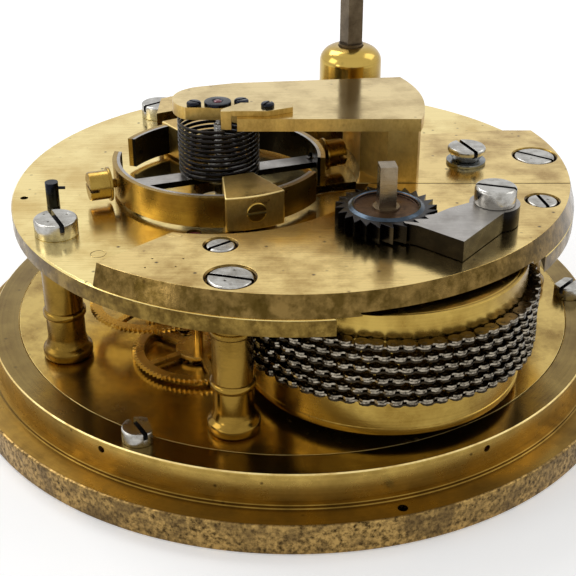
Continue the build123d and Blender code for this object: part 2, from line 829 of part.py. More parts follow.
def side_screw(radius, height, shank, length, angle, reach):
    """Screw whose axis is a radius of the balance, with its head outside the rim."""
    head = screw(radius, height, shank, length, 0.0, (0, 0), 0.0, 0.4)
    at = spot(balance_centre, angle, reach)
    return Pos(at[0], at[1], rim_middle) * Rot(0, 0, angle) * Rot(0, 90, 0) * Rot(0, 0, 20) * head


def weight_screws():
    solids = []
    for turn in (0, 180):
        solids.append(side_screw(1.3, 0.5, 0.58, 3.0, weight_angle + turn, weight_outer - 0.45))
    return solids


def timing_nuts():
    """Round nuts on studs at the ends of the arm, for setting the rate."""
    solids = []
    for turn in (0, 180):
        angle = arm_angle + turn
        start = rim_radius - rim_width
        stud = turned([
            (0, 0), (0.58, 0), (0.58, nut_reach - start + 0.35), (0, nut_reach - start + 0.35),
        ])
        low = rim_radius + 0.7 - start
        high = low + nut_length
        nut = turned([
            (0.58, low), (nut_flange_radius, low), (nut_flange_radius, low + nut_flange),
            (nut_radius, low + nut_flange), (nut_radius, high - 0.2), (nut_radius - 0.2, high),
            (0.58, high),
        ])
        at = spot(balance_centre, angle, start)
        place = Pos(at[0], at[1], rim_middle) * Rot(0, 0, angle) * Rot(0, 90, 0)
        solids += [place * stud, place * nut]
    return solids


def balance_staff():
    arm_low = rim_low + 0.8
    low = back_low - 5.2
    return turned([
        (0, low), (0.25, low), (0.25, low + 1.5), (0.7, low + 1.5), (0.7, arm_low - 0.6),
        (1.6, arm_low - 0.6), (1.6, arm_low), (0.8, arm_low), (0.8, arm_low + 1.3),
        (1.5, arm_low + 1.3), (1.5, arm_low + 2.2), (0.6, arm_low + 2.2), (0.6, cock_low - 1.0),
        (0.3, cock_low - 1.0), (0.3, cock_top - 0.1), (0, cock_top - 0.1),
    ], balance_centre)


def rollers():
    """Impulse roller and unlocking roller on the balance staff."""
    impulse = collar(roller_radius, 0.7, escape_wheel_low, escape_wheel_low + 0.8, balance_centre)
    angle = bearing(balance_centre, escape_centre)
    notch = spot(balance_centre, angle, roller_radius)
    impulse -= disc(0.55, escape_wheel_low - 1, escape_wheel_low + 2, notch)
    unlock = collar(1.15, 0.7, escape_wheel_low - 1.5, escape_wheel_low - 0.7, balance_centre)
    return [impulse, unlock]


# Escapement

def escape_wheel():
    profile = [(escape_tip, 0.0), (4.35, 0.17), (4.35, 0.6)]
    low = escape_wheel_low
    body = toothed(profile, escape_teeth, low, low + 0.5, escape_centre, bearing(escape_centre, balance_centre) + 12)
    body -= crossings(3.6, 1.2, 4, 0.7, low, low + 0.5, escape_centre, 20.0)
    body -= disc(0.4, low - 1, low + 2, escape_centre)
    reach = pitch_radii(fourth_teeth, train_leaves, fourth_centre, escape_centre)[1]
    leaves = pinion(train_leaves, reach, fourth_wheel_low - 0.5, fourth_wheel_low + 1.0, escape_centre,
                    bearing(escape_centre, fourth_centre))
    leaves -= disc(0.4, fourth_wheel_low - 2, fourth_wheel_low + 2, escape_centre)
    arbor = disc(0.4, ring_top - 1.9, low + 1.2, escape_centre)
    arbor += disc(0.3, low + 1.2, back_top - 0.4, escape_centre)
    return [body, leaves, arbor]


def detent():
    """Spring detent with its locking stone, horn and passing spring."""
    low = escape_wheel_low - 1.4
    blade = strap(detent_point(-8.0, 6.6), detent_point(5.55, 6.6), 0.5, low, low + 0.8)
    spring = strap(detent_point(-8.0, 6.6), detent_point(-4.5, 6.6), 0.9, low, low + 1.4)
    pipe = disc(0.55, low, low + 1.2, detent_point(0.0, 6.75))
    stone = block(0.4, 0.7, low + 0.7, low + 2.6, detent_point(0.0, escape_tip + side_gap + 0.35),
                  detent_angle)
    return blade + spring + pipe + stone


def detent_foot():
    """Block under the back plate that the detent's spring is fixed in."""
    low = escape_wheel_low - 1.8
    body = block(5.0, 3.4, low, back_low, detent_point(-10.4, 6.6), detent_angle)
    low_slot = escape_wheel_low - 1.4
    body -= strap(detent_point(-9.5, 6.6), detent_point(-4.5, 6.6), 0.94, low_slot - 0.02, low_slot + 1.42)
    return body


def potence():
    """Small cock under the back plate with the lower bearing of the balance."""
    low = back_low - 6.0
    arm = strap(balance_centre, potence_foot_at, 3.6, low, low + 1.3)
    foot = disc(1.8, low, back_low, potence_foot_at)
    return arm + foot - disc(0.25 + running_gap, low + 0.4, low + 3, balance_centre)


# Going train

def great_wheel():
    radius = pitch_radii(great_teeth, centre_leaves, fusee_centre, centre)[0]
    body = wheel(great_teeth, radius, great_low, great_high, fusee_centre, bearing(fusee_centre, centre))
    body -= crossings(14.0, 5.0, 6, 2.2, great_low, great_high, fusee_centre, 0.0)
    return body - disc(fusee_arbor_radius + running_gap, great_low - 1, great_high + 1, fusee_centre)


def maintaining_wheel():
    """Ratchet wheel that keeps the train driven while the fusee is wound."""
    low = great_high + side_gap
    profile = [(maintaining_tip, 0.0), (maintaining_tip - 0.8, 0.02)]
    body = toothed(profile, 48, low, low + 0.6, fusee_centre, maintaining_angle)
    body -= disc(12.9, low - 1, low + 1, fusee_centre) - disc(4.2, low - 2, low + 2, fusee_centre) \
        - block(28, 2.4, low - 2, low + 2, fusee_centre, 30.0) \
        - block(28, 2.4, low - 2, low + 2, fusee_centre, 90.0) \
        - block(28, 2.4, low - 2, low + 2, fusee_centre, 150.0)
    return body - disc(fusee_arbor_radius + running_gap, low - 1, low + 1, fusee_centre)


def maintaining_click():
    low = great_high + side_gap
    arbor = disc(0.75, ring_top, back_low, maintaining_pivot)
    arbor += disc(0.5, ring_top - 1.9, ring_top, maintaining_pivot)
    arbor += disc(0.4, back_low, back_top - 0.3, maintaining_pivot)
    tip = spot(fusee_centre, maintaining_angle + 34.0, maintaining_tip + side_gap + 0.45)
    return arbor + strap(maintaining_pivot, tip, 0.9, low, low + 0.6)


def fusee_cone():
    """Fusee with a plain seat under the wound chain and turned grooves above it."""
    base = great_high + 2 * side_gap + 0.6
    low = chain_low - fusee_turns * chain_pitch - chain_depth / 2 - 0.05
    start = chain_low + chain_depth / 2 + 0.25
    profile = [(fusee_arbor_radius, base), (fusee_large + 1.6, base), (fusee_large + 1.6, low)]
    profile.append((fusee_floor(low) - 0.3, low))
    profile.append((fusee_floor(start) - 0.3, start))
    grooves = int((stop_arm_low - side_gap - 0.5 - start) / chain_pitch)
    for index in range(grooves):
        bottom = start + chain_pitch * index
        floor = fusee_floor(bottom + chain_pitch / 2) - 0.1
        profile += [(floor + 1.0, bottom), (floor + 1.0, bottom + 0.3), (floor, bottom + 0.42),
                    (floor, bottom + chain_pitch - 0.05)]
    top = start + chain_pitch * grooves
    profile += [(cone_flange_radius, top), (cone_flange_radius, top + 0.5), (fusee_arbor_radius, top + 0.5)]
    return turned(profile, fusee_centre)


def fusee_arbor():
    shaft = turned([
        (0, dial_high + 0.2), (0.75, dial_high + 0.2), (0.75, pillar_plate_low - 0.1),
        (1.2, pillar_plate_low - 0.1), (1.2, ring_top + 0.1), (fusee_arbor_radius, ring_top + 0.1),
        (fusee_arbor_radius, bar_top + boss_height + 0.4), (0, bar_top + boss_height + 0.4),
    ], fusee_centre)
    square = block(winding_square, winding_square, bar_top + boss_height, winding_square_top - 0.4,
                   fusee_centre, 28.0)
    half = winding_square / 2
    tip = Pos(fusee_centre[0], fusee_centre[1], winding_square_top - 0.4) * Rot(0, 0, 28.0) * \
        extrude(Rectangle(2 * half, 2 * half), 0.4, taper=40)
    reach = pitch_radii(up_down_leaves, up_down_teeth, fusee_centre, up_down_centre)[0]
    leaves = pinion(up_down_leaves, reach, dial_high + 0.25, pillar_plate_low - 0.15, fusee_centre,
                    bearing(fusee_centre, up_down_centre))
    return shaft + square + tip + leaves


def fusee_stop_arm():
    """Arm that the chain lifts to stop the winding when the fusee is full."""
    end = spot(fusee_centre, stop_angle, cone_flange_radius + 1.1)
    arm = strap(end, spot(fusee_centre, stop_angle, 14.4), 1.6, stop_arm_low, stop_arm_low + stop_arm_thickness)
    return arm - stop_arm_pin(0.22 + running_gap)


def stop_arm_pin(radius):
    at = spot(fusee_centre, stop_angle, stop_pin_reach)
    middle = stop_arm_low + stop_arm_thickness / 2
    return Pos(at[0], at[1], middle) * Rot(0, 0, stop_angle) * Rot(90, 0, 0) * Cylinder(radius, 3.0)


def stop_arm_block():
    body = block(2.6, 3.4, stop_arm_low - 0.4, back_low, stop_arm_at, stop_angle)
    end = spot(fusee_centre, stop_angle, 12.0)
    slot_high = stop_arm_low + stop_arm_thickness + 0.12
    slot = strap(end, spot(fusee_centre, stop_angle, 14.5), 1.64, stop_arm_low - 0.12, slot_high)
    return body - slot + stop_arm_pin(0.22)


def centre_wheel():
    reach = pitch_radii(centre_teeth, train_leaves, centre, third_centre)[0]
    low = centre_wheel_low
    body = wheel(centre_teeth, reach, low, low + wheel_thickness, centre, bearing(centre, third_centre))
    body -= crossings(reach - 2.4, 4.0, 6, 1.8, low, low + wheel_thickness, centre, 10.0)
    return body - disc(1.1, low - 1, low + 2)


def centre_arbor():
    reach = pitch_radii(great_teeth, centre_leaves, fusee_centre, centre)[1]
    leaves = pinion(centre_leaves, reach, great_low - 0.5, great_high + 0.4, centre,
                    bearing(centre, fusee_centre))
    shaft = disc(1.1, pillar_plate_low - 0.1, back_low - 0.4)
    shaft += disc(0.6, back_low - 0.4, back_top - 0.3)
    shaft += disc(0.7, dial_low - 2.0, pillar_plate_low - 0.1)
    return leaves + shaft


def third_wheel():
    wheel_reach = pitch_radii(third_teeth, train_leaves, third_centre, fourth_centre)[0]
    low = third_wheel_low
    body = wheel(third_teeth, wheel_reach, low, low + wheel_thickness, third_centre,
                 bearing(third_centre, fourth_centre))
    body -= crossings(wheel_reach - 1.3, 2.9, 5, 0.9, low, low + wheel_thickness, third_centre, 0.0)
    body -= disc(0.6, low - 1, low + 2, third_centre)
    reach = pitch_radii(centre_teeth, train_leaves, centre, third_centre)[1]
    leaves = pinion(train_leaves, reach, ring_top - 0.75, low - 0.1, third_centre,
                    bearing(third_centre, centre))
    leaves -= disc(0.6, ring_top - 2, low + 1, third_centre)
    arbor = disc(0.6, ring_top - 0.8, back_low - 0.6, third_centre)
    arbor += disc(0.5, pillar_plate_low + 0.2, ring_top - 0.8, third_centre)
    arbor += disc(0.3, back_low - 0.6, back_top - 0.4, third_centre)
    return [body, leaves, arbor]


def fourth_wheel():
    wheel_reach = pitch_radii(fourth_teeth, train_leaves, fourth_centre, escape_centre)[0]
    low = fourth_wheel_low
    body = wheel(fourth_teeth, wheel_reach, low, low + wheel_thickness, fourth_centre,
                 bearing(fourth_centre, escape_centre))
    body -= crossings(wheel_reach - 1.3, 2.4, 5, 0.9, low, low + wheel_thickness, fourth_centre, 20.0)
    body -= disc(0.45, low - 1, low + 2, fourth_centre)
    reach = pitch_radii(third_teeth, train_leaves, third_centre, fourth_centre)[1]
    leaves = pinion(train_leaves, reach, third_wheel_low - 0.2, third_wheel_low + 0.9, fourth_centre,
                    bearing(fourth_centre, third_centre))
    leaves -= disc(0.45, ring_top, ring_top + 3, fourth_centre)
    arbor = disc(0.45, dial_low - 0.7, back_low - 0.6, fourth_centre)
    arbor += disc(0.3, back_low - 0.6, back_top - 0.4, fourth_centre)
    return [body, leaves, arbor]


# Barrel, set-up work

def barrel():
    low = barrel_low
    high = barrel_high
    bore = barrel_arbor_radius + running_gap
    inner = barrel_radius - barrel_wall
    return turned([
        (bore, low), (barrel_radius - 0.3, low), (barrel_radius, low + 0.3),
        (barrel_radius, high - 0.2), (barrel_radius - 0.2, high), (inner + 0.4, high),
        (inner + 0.4, high - 0.9), (inner, high - 0.9), (inner, low + 1.0), (bore, low + 1.0),
    ], barrel_centre)


def barrel_cap():
    high = barrel_high
    bore = barrel_arbor_radius + running_gap
    outer = barrel_radius - barrel_wall + 0.4 - running_gap
    return turned([
        (bore, high - 0.9), (outer, high - 0.9), (outer, high - 0.15), (outer - 0.3, high - 0.05),
        (bore, high - 0.05),
    ], barrel_centre)


def mainspring():
    """Wound spring, its coils lying close against the barrel wall."""
    outer = barrel_radius - barrel_wall
    return collar(outer, outer - 7.0, barrel_low + 1.1, barrel_high - 1.0, barrel_centre)


def barrel_arbor():
    core_low = barrel_low + 1.15
    core_high = barrel_high - 1.05
    body = disc(barrel_arbor_radius, pillar_plate_low, ratchet_high + 0.05, barrel_centre)
    body += disc(4.4, core_low, core_high, barrel_centre)
    top = ratchet_high + 0.05 + square_height + 0.6
    body += block(square_side, square_side, ratchet_high, top, barrel_centre, square_angle)
    hook = block(1.6, 1.4, core_low + 5, core_low + 7, spot(barrel_centre, 40.0, 4.6), 40.0)
    return body + hook


def ratchet_body(grow=0.0):
    """Set-up ratchet, with upright faces that the click pushes against."""
    profile = [(ratchet_root + grow, 0.0), (ratchet_tip + grow, 0.999)]
    points = []
    pitch = 360.0 / ratchet_teeth
    for tooth in range(ratchet_teeth):
        for radius, share in profile:
            points.append(spot(barrel_centre, -56.0 + pitch * (tooth + share), radius))
    return slab(points, ratchet_low, ratchet_high)


def ratchet_wheel():
    ring_shape = turned([
        (3.4, ratchet_high - 0.5), (3.85, ratchet_high + 0.15), (4.1, ratchet_high + 0.3),
        (ratchet_hub, ratchet_high), (ratchet_hub, ratchet_high - 0.5),
    ], barrel_centre)
    body = ratchet_body() - disc(3.85, ratchet_high - 0.2, ratchet_high + 1, barrel_centre)
    body += ring_shape - disc(3.85, ratchet_high - 0.6, ratchet_high + 1, barrel_centre)
    return body - disc(barrel_arbor_radius, ratchet_low - 1, ratchet_high + 1, barrel_centre)


def click():
    """Click whose end is cut to fit the ratchet's teeth."""
    outline = plan((12.2, -23.6), (14.2, -24.6), (18.9, -28.7), (24.6, -20.95), (22.5, -15.6),
                   (21.2, -18.0), (18.4, -19.7), (16.8, -21.1))
    body = slab(outline, click_low, click_high)
    body += disc(click_boss, click_low, click_high, click_pivot)
    body -= disc(0.85, click_low - 1, click_high + 1, click_pivot)
    x, y = click_pivot
    for lift in range(6):
        space = Pos(x, y, 0) * Rot(0, 0, -lift) * Pos(-x, -y, 0) * ratchet_body(0.08)
        body -= Pos(0, 0, -1.0) * space
        body -= Pos(0, 0, 1.0) * space
    return body


def click_screw():
    return screw(2.5, 2.1, 0.8, click_thickness + 2.6, click_high + running_gap, click_pivot, 163.0, 0.6)


# Dial side

def dial():
    body = disc(dial_radius, dial_low, dial_high)
    body -= disc(2.2, dial_low - 1, dial_high + 1)
    body -= disc(0.9, dial_low - 1, dial_high + 1, fourth_centre)
    body -= disc(0.9, dial_low - 1, dial_high + 1, up_down_centre)
    for angle in dial_foot_angles:
        body += disc(0.87, dial_high, pillar_plate_low + 1.5, spot(centre, angle, dial_radius - 3))
    return body


def hand(at, angle, length, width, low, high, hub, bore):
    """Tapered hand with a round hub and a short tail."""
    tip = spot(at, angle, length)
    left = spot(at, angle + 90, width)
    right = spot(at, angle - 90, width)
    tail = spot(at, angle + 180, hub + 0.35 * length * 0.4)
    blade = slab([left, tip, right, tail], low, high)
    return blade + disc(hub, low, high, at) - disc(bore, low - 1, high + 1, at)


def cannon_pinion():
    reach = motion_distance * cannon_leaves / (cannon_leaves + minute_teeth)
    low = dial_high + 0.25
    leaves = pinion(cannon_leaves, reach, low + 0.5, low + 1.0, centre, motion_angle)
    body = leaves + disc(1.05, dial_low - 1.9, low + 0.5)
    return body - disc(0.7, dial_low - 3, low + 2)


def minute_hand():
    low = dial_low - 1.9
    return hand(centre, 52.0, 28.0, 1.1, low, low + hand_thickness, 1.9, 1.05)


def hour_wheel():
    reach = motion_distance * hour_teeth / (hour_teeth + minute_leaves)
    low = dial_high + 0.1
    body = wheel(hour_teeth, reach, low, low + 0.35, centre, motion_angle)
    pipe = disc(1.6, dial_low - 1.3, low)
    return body + pipe - disc(1.05 + running_gap, dial_low - 3, low + 2)


def hour_hand():
    low = dial_low - 1.25
    return hand(centre, -28.0, 17.0, 1.4, low, low + hand_thickness, 2.3, 1.6)


def minute_wheel():
    low = dial_high + 0.25
    reach = motion_distance * minute_teeth / (cannon_leaves + minute_teeth)
    body = wheel(minute_teeth, reach, low + 0.5, low + 0.9, motion_stud, motion_angle + 180.0)
    small = motion_distance * minute_leaves / (hour_teeth + minute_leaves)
    leaves = pinion(minute_leaves, small, dial_high + 0.05, low + 0.5, motion_stud, motion_angle + 180.0)
    return body + leaves + disc(0.6, low + 0.5, pillar_plate_low + 1.6, motion_stud)


def up_down_wheel():
    reach = pitch_radii(up_down_leaves, up_down_teeth, fusee_centre, up_down_centre)[1]
    low = dial_high + 0.35
    body = wheel(up_down_teeth, reach, low, low + 0.5, up_down_centre, bearing(up_down_centre, fusee_centre))
    body -= crossings(reach - 1.6, 3.2, 5, 1.2, low, low + 0.5, up_down_centre, 0.0)
    body += disc(0.6, dial_low - 0.7, pillar_plate_low + 1.6, up_down_centre)
    return body


def small_hand(at, angle, length):
    low = dial_low - 0.65
    return hand(at, angle, length, 0.55, low, low + hand_thickness, 1.0, 0.45 if at == fourth_centre else 0.6)


nodes = {
    "mounting_ring": mounting_ring(),
    "dog_screws": dog_screws(),
    "pillar_plate": pillar_plate(),
    "pillars": pillars(),
    "back_plate": back_plate(),
    "barrel_bar": barrel_bar(),
    "rear_bridge": rear_bridge(),
    "fusee_bar": fusee_bar(),
    "winding_boss": winding_boss(),
    "bridge_screws": bridge_screws(),
    "plate_screws": plate_screws(),
    "collar_screw": collar_screw(),
    "collar_washer": collar_washer(),
    "pillar_screws": pillar_screws(),
    "stop_pin": stop_pin(),
    "balance_cock": balance_cock(),
    "endstone_cap": endstone_cap(),
    "blued_screws": cap_screws() + [stud_screw()],
    "jewels": jewels(),
    "stud_clamp": stud_clamp(),
    "hairspring": hairspring(),
    "balance_arm": balance_arm(),
    "balance_rim": balance_rim(),
    "balance_weights": balance_weights(),
    "weight_screws": weight_screws(),
    "timing_nuts": timing_nuts(),
    "balance_staff": balance_staff(),
    "rollers": rollers(),
    "escape_wheel": escape_wheel(),
    "detent": detent(),
    "detent_foot": [detent_foot(), stop_arm_block()],
    "potence": potence(),
    "great_wheel": great_wheel(),
    "maintaining_wheel": maintaining_wheel(),
    "maintaining_click": maintaining_click(),
    "fusee_cone": fusee_cone(),
    "fusee_arbor": fusee_arbor(),
    "fusee_stop_arm": fusee_stop_arm(),
    "centre_wheel": [centre_wheel(), centre_arbor()],
    "third_wheel": third_wheel(),
    "fourth_wheel": fourth_wheel(),
    "barrel": barrel(),
    "barrel_cap": barrel_cap(),
    "mainspring": mainspring(),
    "barrel_arbor": barrel_arbor(),
    "ratchet_wheel": ratchet_wheel(),
    "click": click(),
    "click_screw": click_screw(),
    "chain_on_barrel": chain_on_barrel(),
    "chain_on_fusee": chain_on_fusee(),
    "chain_run": chain_run(),
    "dial": dial(),
    "cannon_pinion": cannon_pinion(),
    "minute_wheel": minute_wheel(),
    "hour_wheel": hour_wheel(),
    "up_down_wheel": up_down_wheel(),
    "minute_hand": minute_hand(),
    "hour_hand": hour_hand(),
    "seconds_hand": small_hand(fourth_centre, 75.0, 6.6),
    "up_down_hand": small_hand(up_down_centre, 205.0, 6.6),
}

os.makedirs("parts", exist_ok=True)
for name, shape in nodes.items():
    solid = Compound(children=shape) if isinstance(shape, list) else shape
    export_step(solid, f"parts/{name}.step")
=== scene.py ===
"""Deck chronometer movement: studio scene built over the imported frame."""

import logging
import math
from contextlib import contextmanager
from dataclasses import dataclass
from enum import Enum
from typing import Callable, Iterator, Optional, Sequence

import bpy
from mathutils import Matrix, Vector

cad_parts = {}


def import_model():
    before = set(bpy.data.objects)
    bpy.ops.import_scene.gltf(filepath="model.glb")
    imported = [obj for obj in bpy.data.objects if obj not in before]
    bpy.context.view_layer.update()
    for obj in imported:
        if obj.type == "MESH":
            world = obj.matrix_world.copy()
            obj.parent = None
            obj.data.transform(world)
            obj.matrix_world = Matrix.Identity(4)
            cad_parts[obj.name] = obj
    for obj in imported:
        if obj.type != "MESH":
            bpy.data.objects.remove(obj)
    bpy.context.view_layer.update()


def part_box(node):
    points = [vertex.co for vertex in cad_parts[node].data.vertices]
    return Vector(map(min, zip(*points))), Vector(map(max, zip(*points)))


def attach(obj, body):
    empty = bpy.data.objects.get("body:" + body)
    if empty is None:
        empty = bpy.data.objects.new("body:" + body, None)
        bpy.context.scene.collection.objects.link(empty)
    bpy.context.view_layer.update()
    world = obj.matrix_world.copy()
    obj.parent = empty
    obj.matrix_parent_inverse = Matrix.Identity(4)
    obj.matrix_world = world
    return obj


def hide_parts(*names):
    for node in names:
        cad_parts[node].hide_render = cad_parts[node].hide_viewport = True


LOG = logging.getLogger("chronometer")
MM = 0.001

Point = tuple[float, float]
Profile = Sequence[Point]
Piece = bpy.types.Object
Face = bpy.types.MeshPolygon
Tree = bpy.types.NodeTree
Socket = bpy.types.NodeSocket

# Upright axes in plan, in millimetres from the middle of the movement.
CENTRE: Point = (0.0, 0.0)
BALANCE: Point = (-9.6, -1.4)
BARREL: Point = (11.0, -18.7)
FUSEE: Point = (8.3, 17.5)
CLICK: Point = (23.9, -18.1)
THIRD: Point = (-12.1, -15.5)
FOURTH: Point = (-18.41, -8.62)
ESCAPE: Point = (-18.7, 0.6)
UP_DOWN: Point = (18.41, 8.62)
# Pillars at the front, on the right, on the left and at the back.
PILLARS: tuple[Point, ...] = ((-6.875, -32.07), (32.67, 2.92), (-28.88, -15.55), (-20.19, 25.85))

# The two halves of what the balance carries lie opposite each other.
HALVES = (0.0, 180.0)


def linear(code: str) -> tuple[float, float, float, float]:
    """Turns an sRGB hex colour to linear light.

    Args:
        code: Six hex digits.

    Returns:
        Red, green, blue and a full alpha.
    """
    channels = [int(code[i:i + 2], 16) / 255 for i in (0, 2, 4)]
    light = [c / 12.92 if c <= 0.04045 else ((c + 0.055) / 1.055) ** 2.4 for c in channels]
    return light[0], light[1], light[2], 1.0


def spot(origin: Point, angle: float, reach: float) -> Point:
    """Point at an angle in degrees and a reach from an origin in plan."""
    turn = math.radians(angle)
    return origin[0] + reach * math.cos(turn), origin[1] + reach * math.sin(turn)


def metres(at: Point, height: float = 0.0) -> tuple[float, float, float]:
    """Location in metres of a place in plan and a height, both in millimetres."""
    return at[0] * MM, at[1] * MM, height * MM


class Pattern(Enum):
    """How a metal surface was worked."""

    GRAINED = "straight grain"
    TURNED = "turned"
    POLISHED = "polished"
    FILED = "rough filed"


class Work(Enum):
    """What one piece does to another, as the boolean modifier calls it."""

    CUT = "DIFFERENCE"
    ADD = "UNION"
    KEEP = "INTERSECT"


@dataclass(frozen=True)
class Finish:
    """A metal and how its surface was made.

    The hex colours are what the metal reflects face on. Grain spacing and the sizes of the
    aged clouds and of the stains are in millimetres.
    """

    name: str
    face: str
    aged: str
    roughness: float
    pattern: Pattern = Pattern.GRAINED
    grain: float = 0.35
    grain_angle: float = 0.0
    depth: float = 0.25
    wear: float = 0.5
    cloud: float = 9.0
    specks: float = 0.0
    metallic: float = 1.0
    stain: str = ""
    stain_size: float = 6.0


class Painter:
    """Builds one material for each finish and axis."""

    speck_colour = "3A2A14"
    speck_spacing = 1.7
    speck_groups_per_metre = 210.0
    mark_height = 0.02

    def __init__(self) -> None:
        """Starts with no material made."""
        self.made: dict[tuple[str, Point], bpy.types.Material] = {}

    @staticmethod
    def node(tree: Tree, kind: str, settings: Optional[dict] = None,
             links: Optional[dict] = None) -> bpy.types.Node:
        """Adds a node with its settings and links.

        Args:
            tree: The material's tree.
            kind: The node's type.
            settings: Attribute or input name to value.
            links: Input name to the socket that feeds it.

        Returns:
            The new node.
        """
        made = tree.nodes.new(kind)
        for key, value in (settings or {}).items():
            if isinstance(key, str) and hasattr(made, key) and key not in made.inputs:
                setattr(made, key, value)
            else:
                made.inputs[key].default_value = value
        for key, socket in (links or {}).items():
            tree.links.new(socket, made.inputs[key])
        return made

    def metal(self, finish: Finish, axis: Point = CENTRE) -> bpy.types.Material:
        """Material for a metal finish, turned about an axis in plan where it is turned.

        Args:
            finish: The metal and its working.
            axis: The turning axis in millimetres.

        Returns:
            The material, which is made the first time that it is asked for.
        """
        key = (finish.name, axis if finish.pattern is Pattern.TURNED else CENTRE)
        if key not in self.made:
            self.made[key] = self.mix(finish, key[1])
        return self.made[key]

    def mix(self, finish: Finish, axis: Point) -> bpy.types.Material:
        """Mixes a new material: tool marks and clouds of age, then specks and stains where it has them.

        Args:
            finish: The metal and its working.
            axis: The axis in plan that its tool marks are centred on.

        Returns:
            The material.
        """
        material = bpy.data.materials.new(finish.name)
        material.use_nodes = True
        tree = material.node_tree
        tree.nodes.clear()
        node = self.node
        place = node(tree, "ShaderNodeTexCoord").outputs["Object"]
        centred = node(tree, "ShaderNodeMapping", {"Location": metres((-axis[0], -axis[1]))},
                       {"Vector": place})
        marks = self.marks(tree, finish, centred.outputs["Vector"])
        cloud = node(tree, "ShaderNodeTexNoise",
                     {"Scale": 1.0 / (finish.cloud * MM), "Detail": 6.0, "Roughness": 0.62},
                     {"Vector": place}).outputs["Fac"]
        colour = self.aged(tree, finish, cloud, marks)
        if finish.specks:
            colour = self.specked(tree, finish, place, colour)
        if finish.stain:
            colour = self.stained(tree, finish, place, colour)
        rough = node(tree, "ShaderNodeMapRange",
                     {"From Min": 0.35, "From Max": 0.7, "To Min": finish.roughness * 0.8,
                      "To Max": min(1.0, finish.roughness * 1.45 + 0.03)}, {"Value": cloud})
        bump = node(tree, "ShaderNodeBump", {"Strength": finish.depth, "Distance": self.mark_height * MM},
                    {"Height": marks})
        shader = node(tree, "ShaderNodeBsdfPrincipled", {"Metallic": finish.metallic},
                      {"Base Color": colour, "Roughness": rough.outputs["Result"],
                       "Normal": bump.outputs["Normal"]})
        node(tree, "ShaderNodeOutputMaterial", {}, {"Surface": shader.outputs["BSDF"]})
        return material

    def marks(self, tree: Tree, finish: Finish, place: Socket) -> Socket:
        """Height of the tool marks: straight grain, turned rings, or a file's rough cut.

        Args:
            tree: The material's tree.
            finish: The metal and its working.
            place: The place on the piece, measured from the turning axis.

        Returns:
            The height, from 0 to 1.
        """
        node = self.node
        scale = (1.0, 1.0, 1.0)
        if finish.pattern is Pattern.TURNED:
            apart = node(tree, "ShaderNodeSeparateXYZ", {}, {"Vector": place})
            flat = node(tree, "ShaderNodeCombineXYZ", {},
                        {"X": apart.outputs["X"], "Y": apart.outputs["Y"]})
            reach = node(tree, "ShaderNodeVectorMath", {"operation": "LENGTH"}, {0: flat.outputs[0]})
            place = node(tree, "ShaderNodeCombineXYZ", {},
                         {"X": reach.outputs["Value"], "Z": apart.outputs["Z"]}).outputs["Vector"]
        elif finish.pattern is Pattern.GRAINED:
            scale = (0.04, 1.0, 1.0)
        elif finish.pattern is Pattern.FILED:
            scale = (1.0, 1.0, 0.45)
        stretched = node(tree, "ShaderNodeMapping",
                         {"Rotation": (0.0, 0.0, math.radians(finish.grain_angle)), "Scale": scale},
                         {"Vector": place})
        return node(tree, "ShaderNodeTexNoise",
                    {"Scale": 1.0 / (finish.grain * MM), "Detail": 4.0, "Roughness": 0.65},
                    {"Vector": stretched.outputs["Vector"]}).outputs["Fac"]

    def aged(self, tree: Tree, finish: Finish, cloud: Socket, marks: Socket) -> Socket:
        """Metal that darkens in clouds, and a little in the valleys of its tool marks.

        Args:
            tree: The material's tree.
            finish: The metal and its working.
            cloud: Height of the clouds of age.
            marks: Height of the tool marks.

        Returns:
            The colour.
        """
        node = self.node
        mask = node(tree, "ShaderNodeMapRange",
                    {"From Min": 0.40, "From Max": 0.66, "To Min": 0.0, "To Max": finish.wear},
                    {"Value": cloud})
        toned = node(tree, "ShaderNodeMapRange",
                     {"From Min": 0.3, "From Max": 0.7, "To Min": -0.18, "To Max": 0.18}, {"Value": marks})
        share = node(tree, "ShaderNodeMath", {"operation": "ADD", "use_clamp": True},
                     {0: mask.outputs["Result"], 1: toned.outputs["Result"]})
        return node(tree, "ShaderNodeMix",
                    {"data_type": "RGBA", 6: linear(finish.face), 7: linear(finish.aged)},
                    {0: share.outputs[0]}).outputs[2]

    def specked(self, tree: Tree, finish: Finish, place: Socket, under: Socket) -> Socket:
        """Small dark age specks, a few tenths of a millimetre across, in loose groups.

        Args:
            tree: The material's tree.
            finish: The metal and its working.
            place: The place on the piece.
            under: The colour under the specks.

        Returns:
            The colour with its specks.
        """
        node = self.node
        cells = node(tree, "ShaderNodeTexVoronoi",
                     {"Scale": 1.0 / (self.speck_spacing * MM), "Randomness": 1.0}, {"Vector": place})
        dots = node(tree, "ShaderNodeMapRange",
                    {"From Min": 0.06, "From Max": 0.17, "To Min": finish.specks, "To Max": 0.0},
                    {"Value": cells.outputs["Distance"]})
        groups = node(tree, "ShaderNodeTexNoise", {"Scale": self.speck_groups_per_metre, "Detail": 2.0},
                      {"Vector": place})
        where = node(tree, "ShaderNodeMapRange",
                     {"From Min": 0.50, "From Max": 0.60, "To Min": 0.0, "To Max": 1.0},
                     {"Value": groups.outputs["Fac"]})
        share = node(tree, "ShaderNodeMath", {"operation": "MULTIPLY"},
                     {0: dots.outputs["Result"], 1: where.outputs["Result"]})
        return node(tree, "ShaderNodeMix", {"data_type": "RGBA", 7: linear(self.speck_colour)},
                    {0: share.outputs[0], 6: under}).outputs[2]

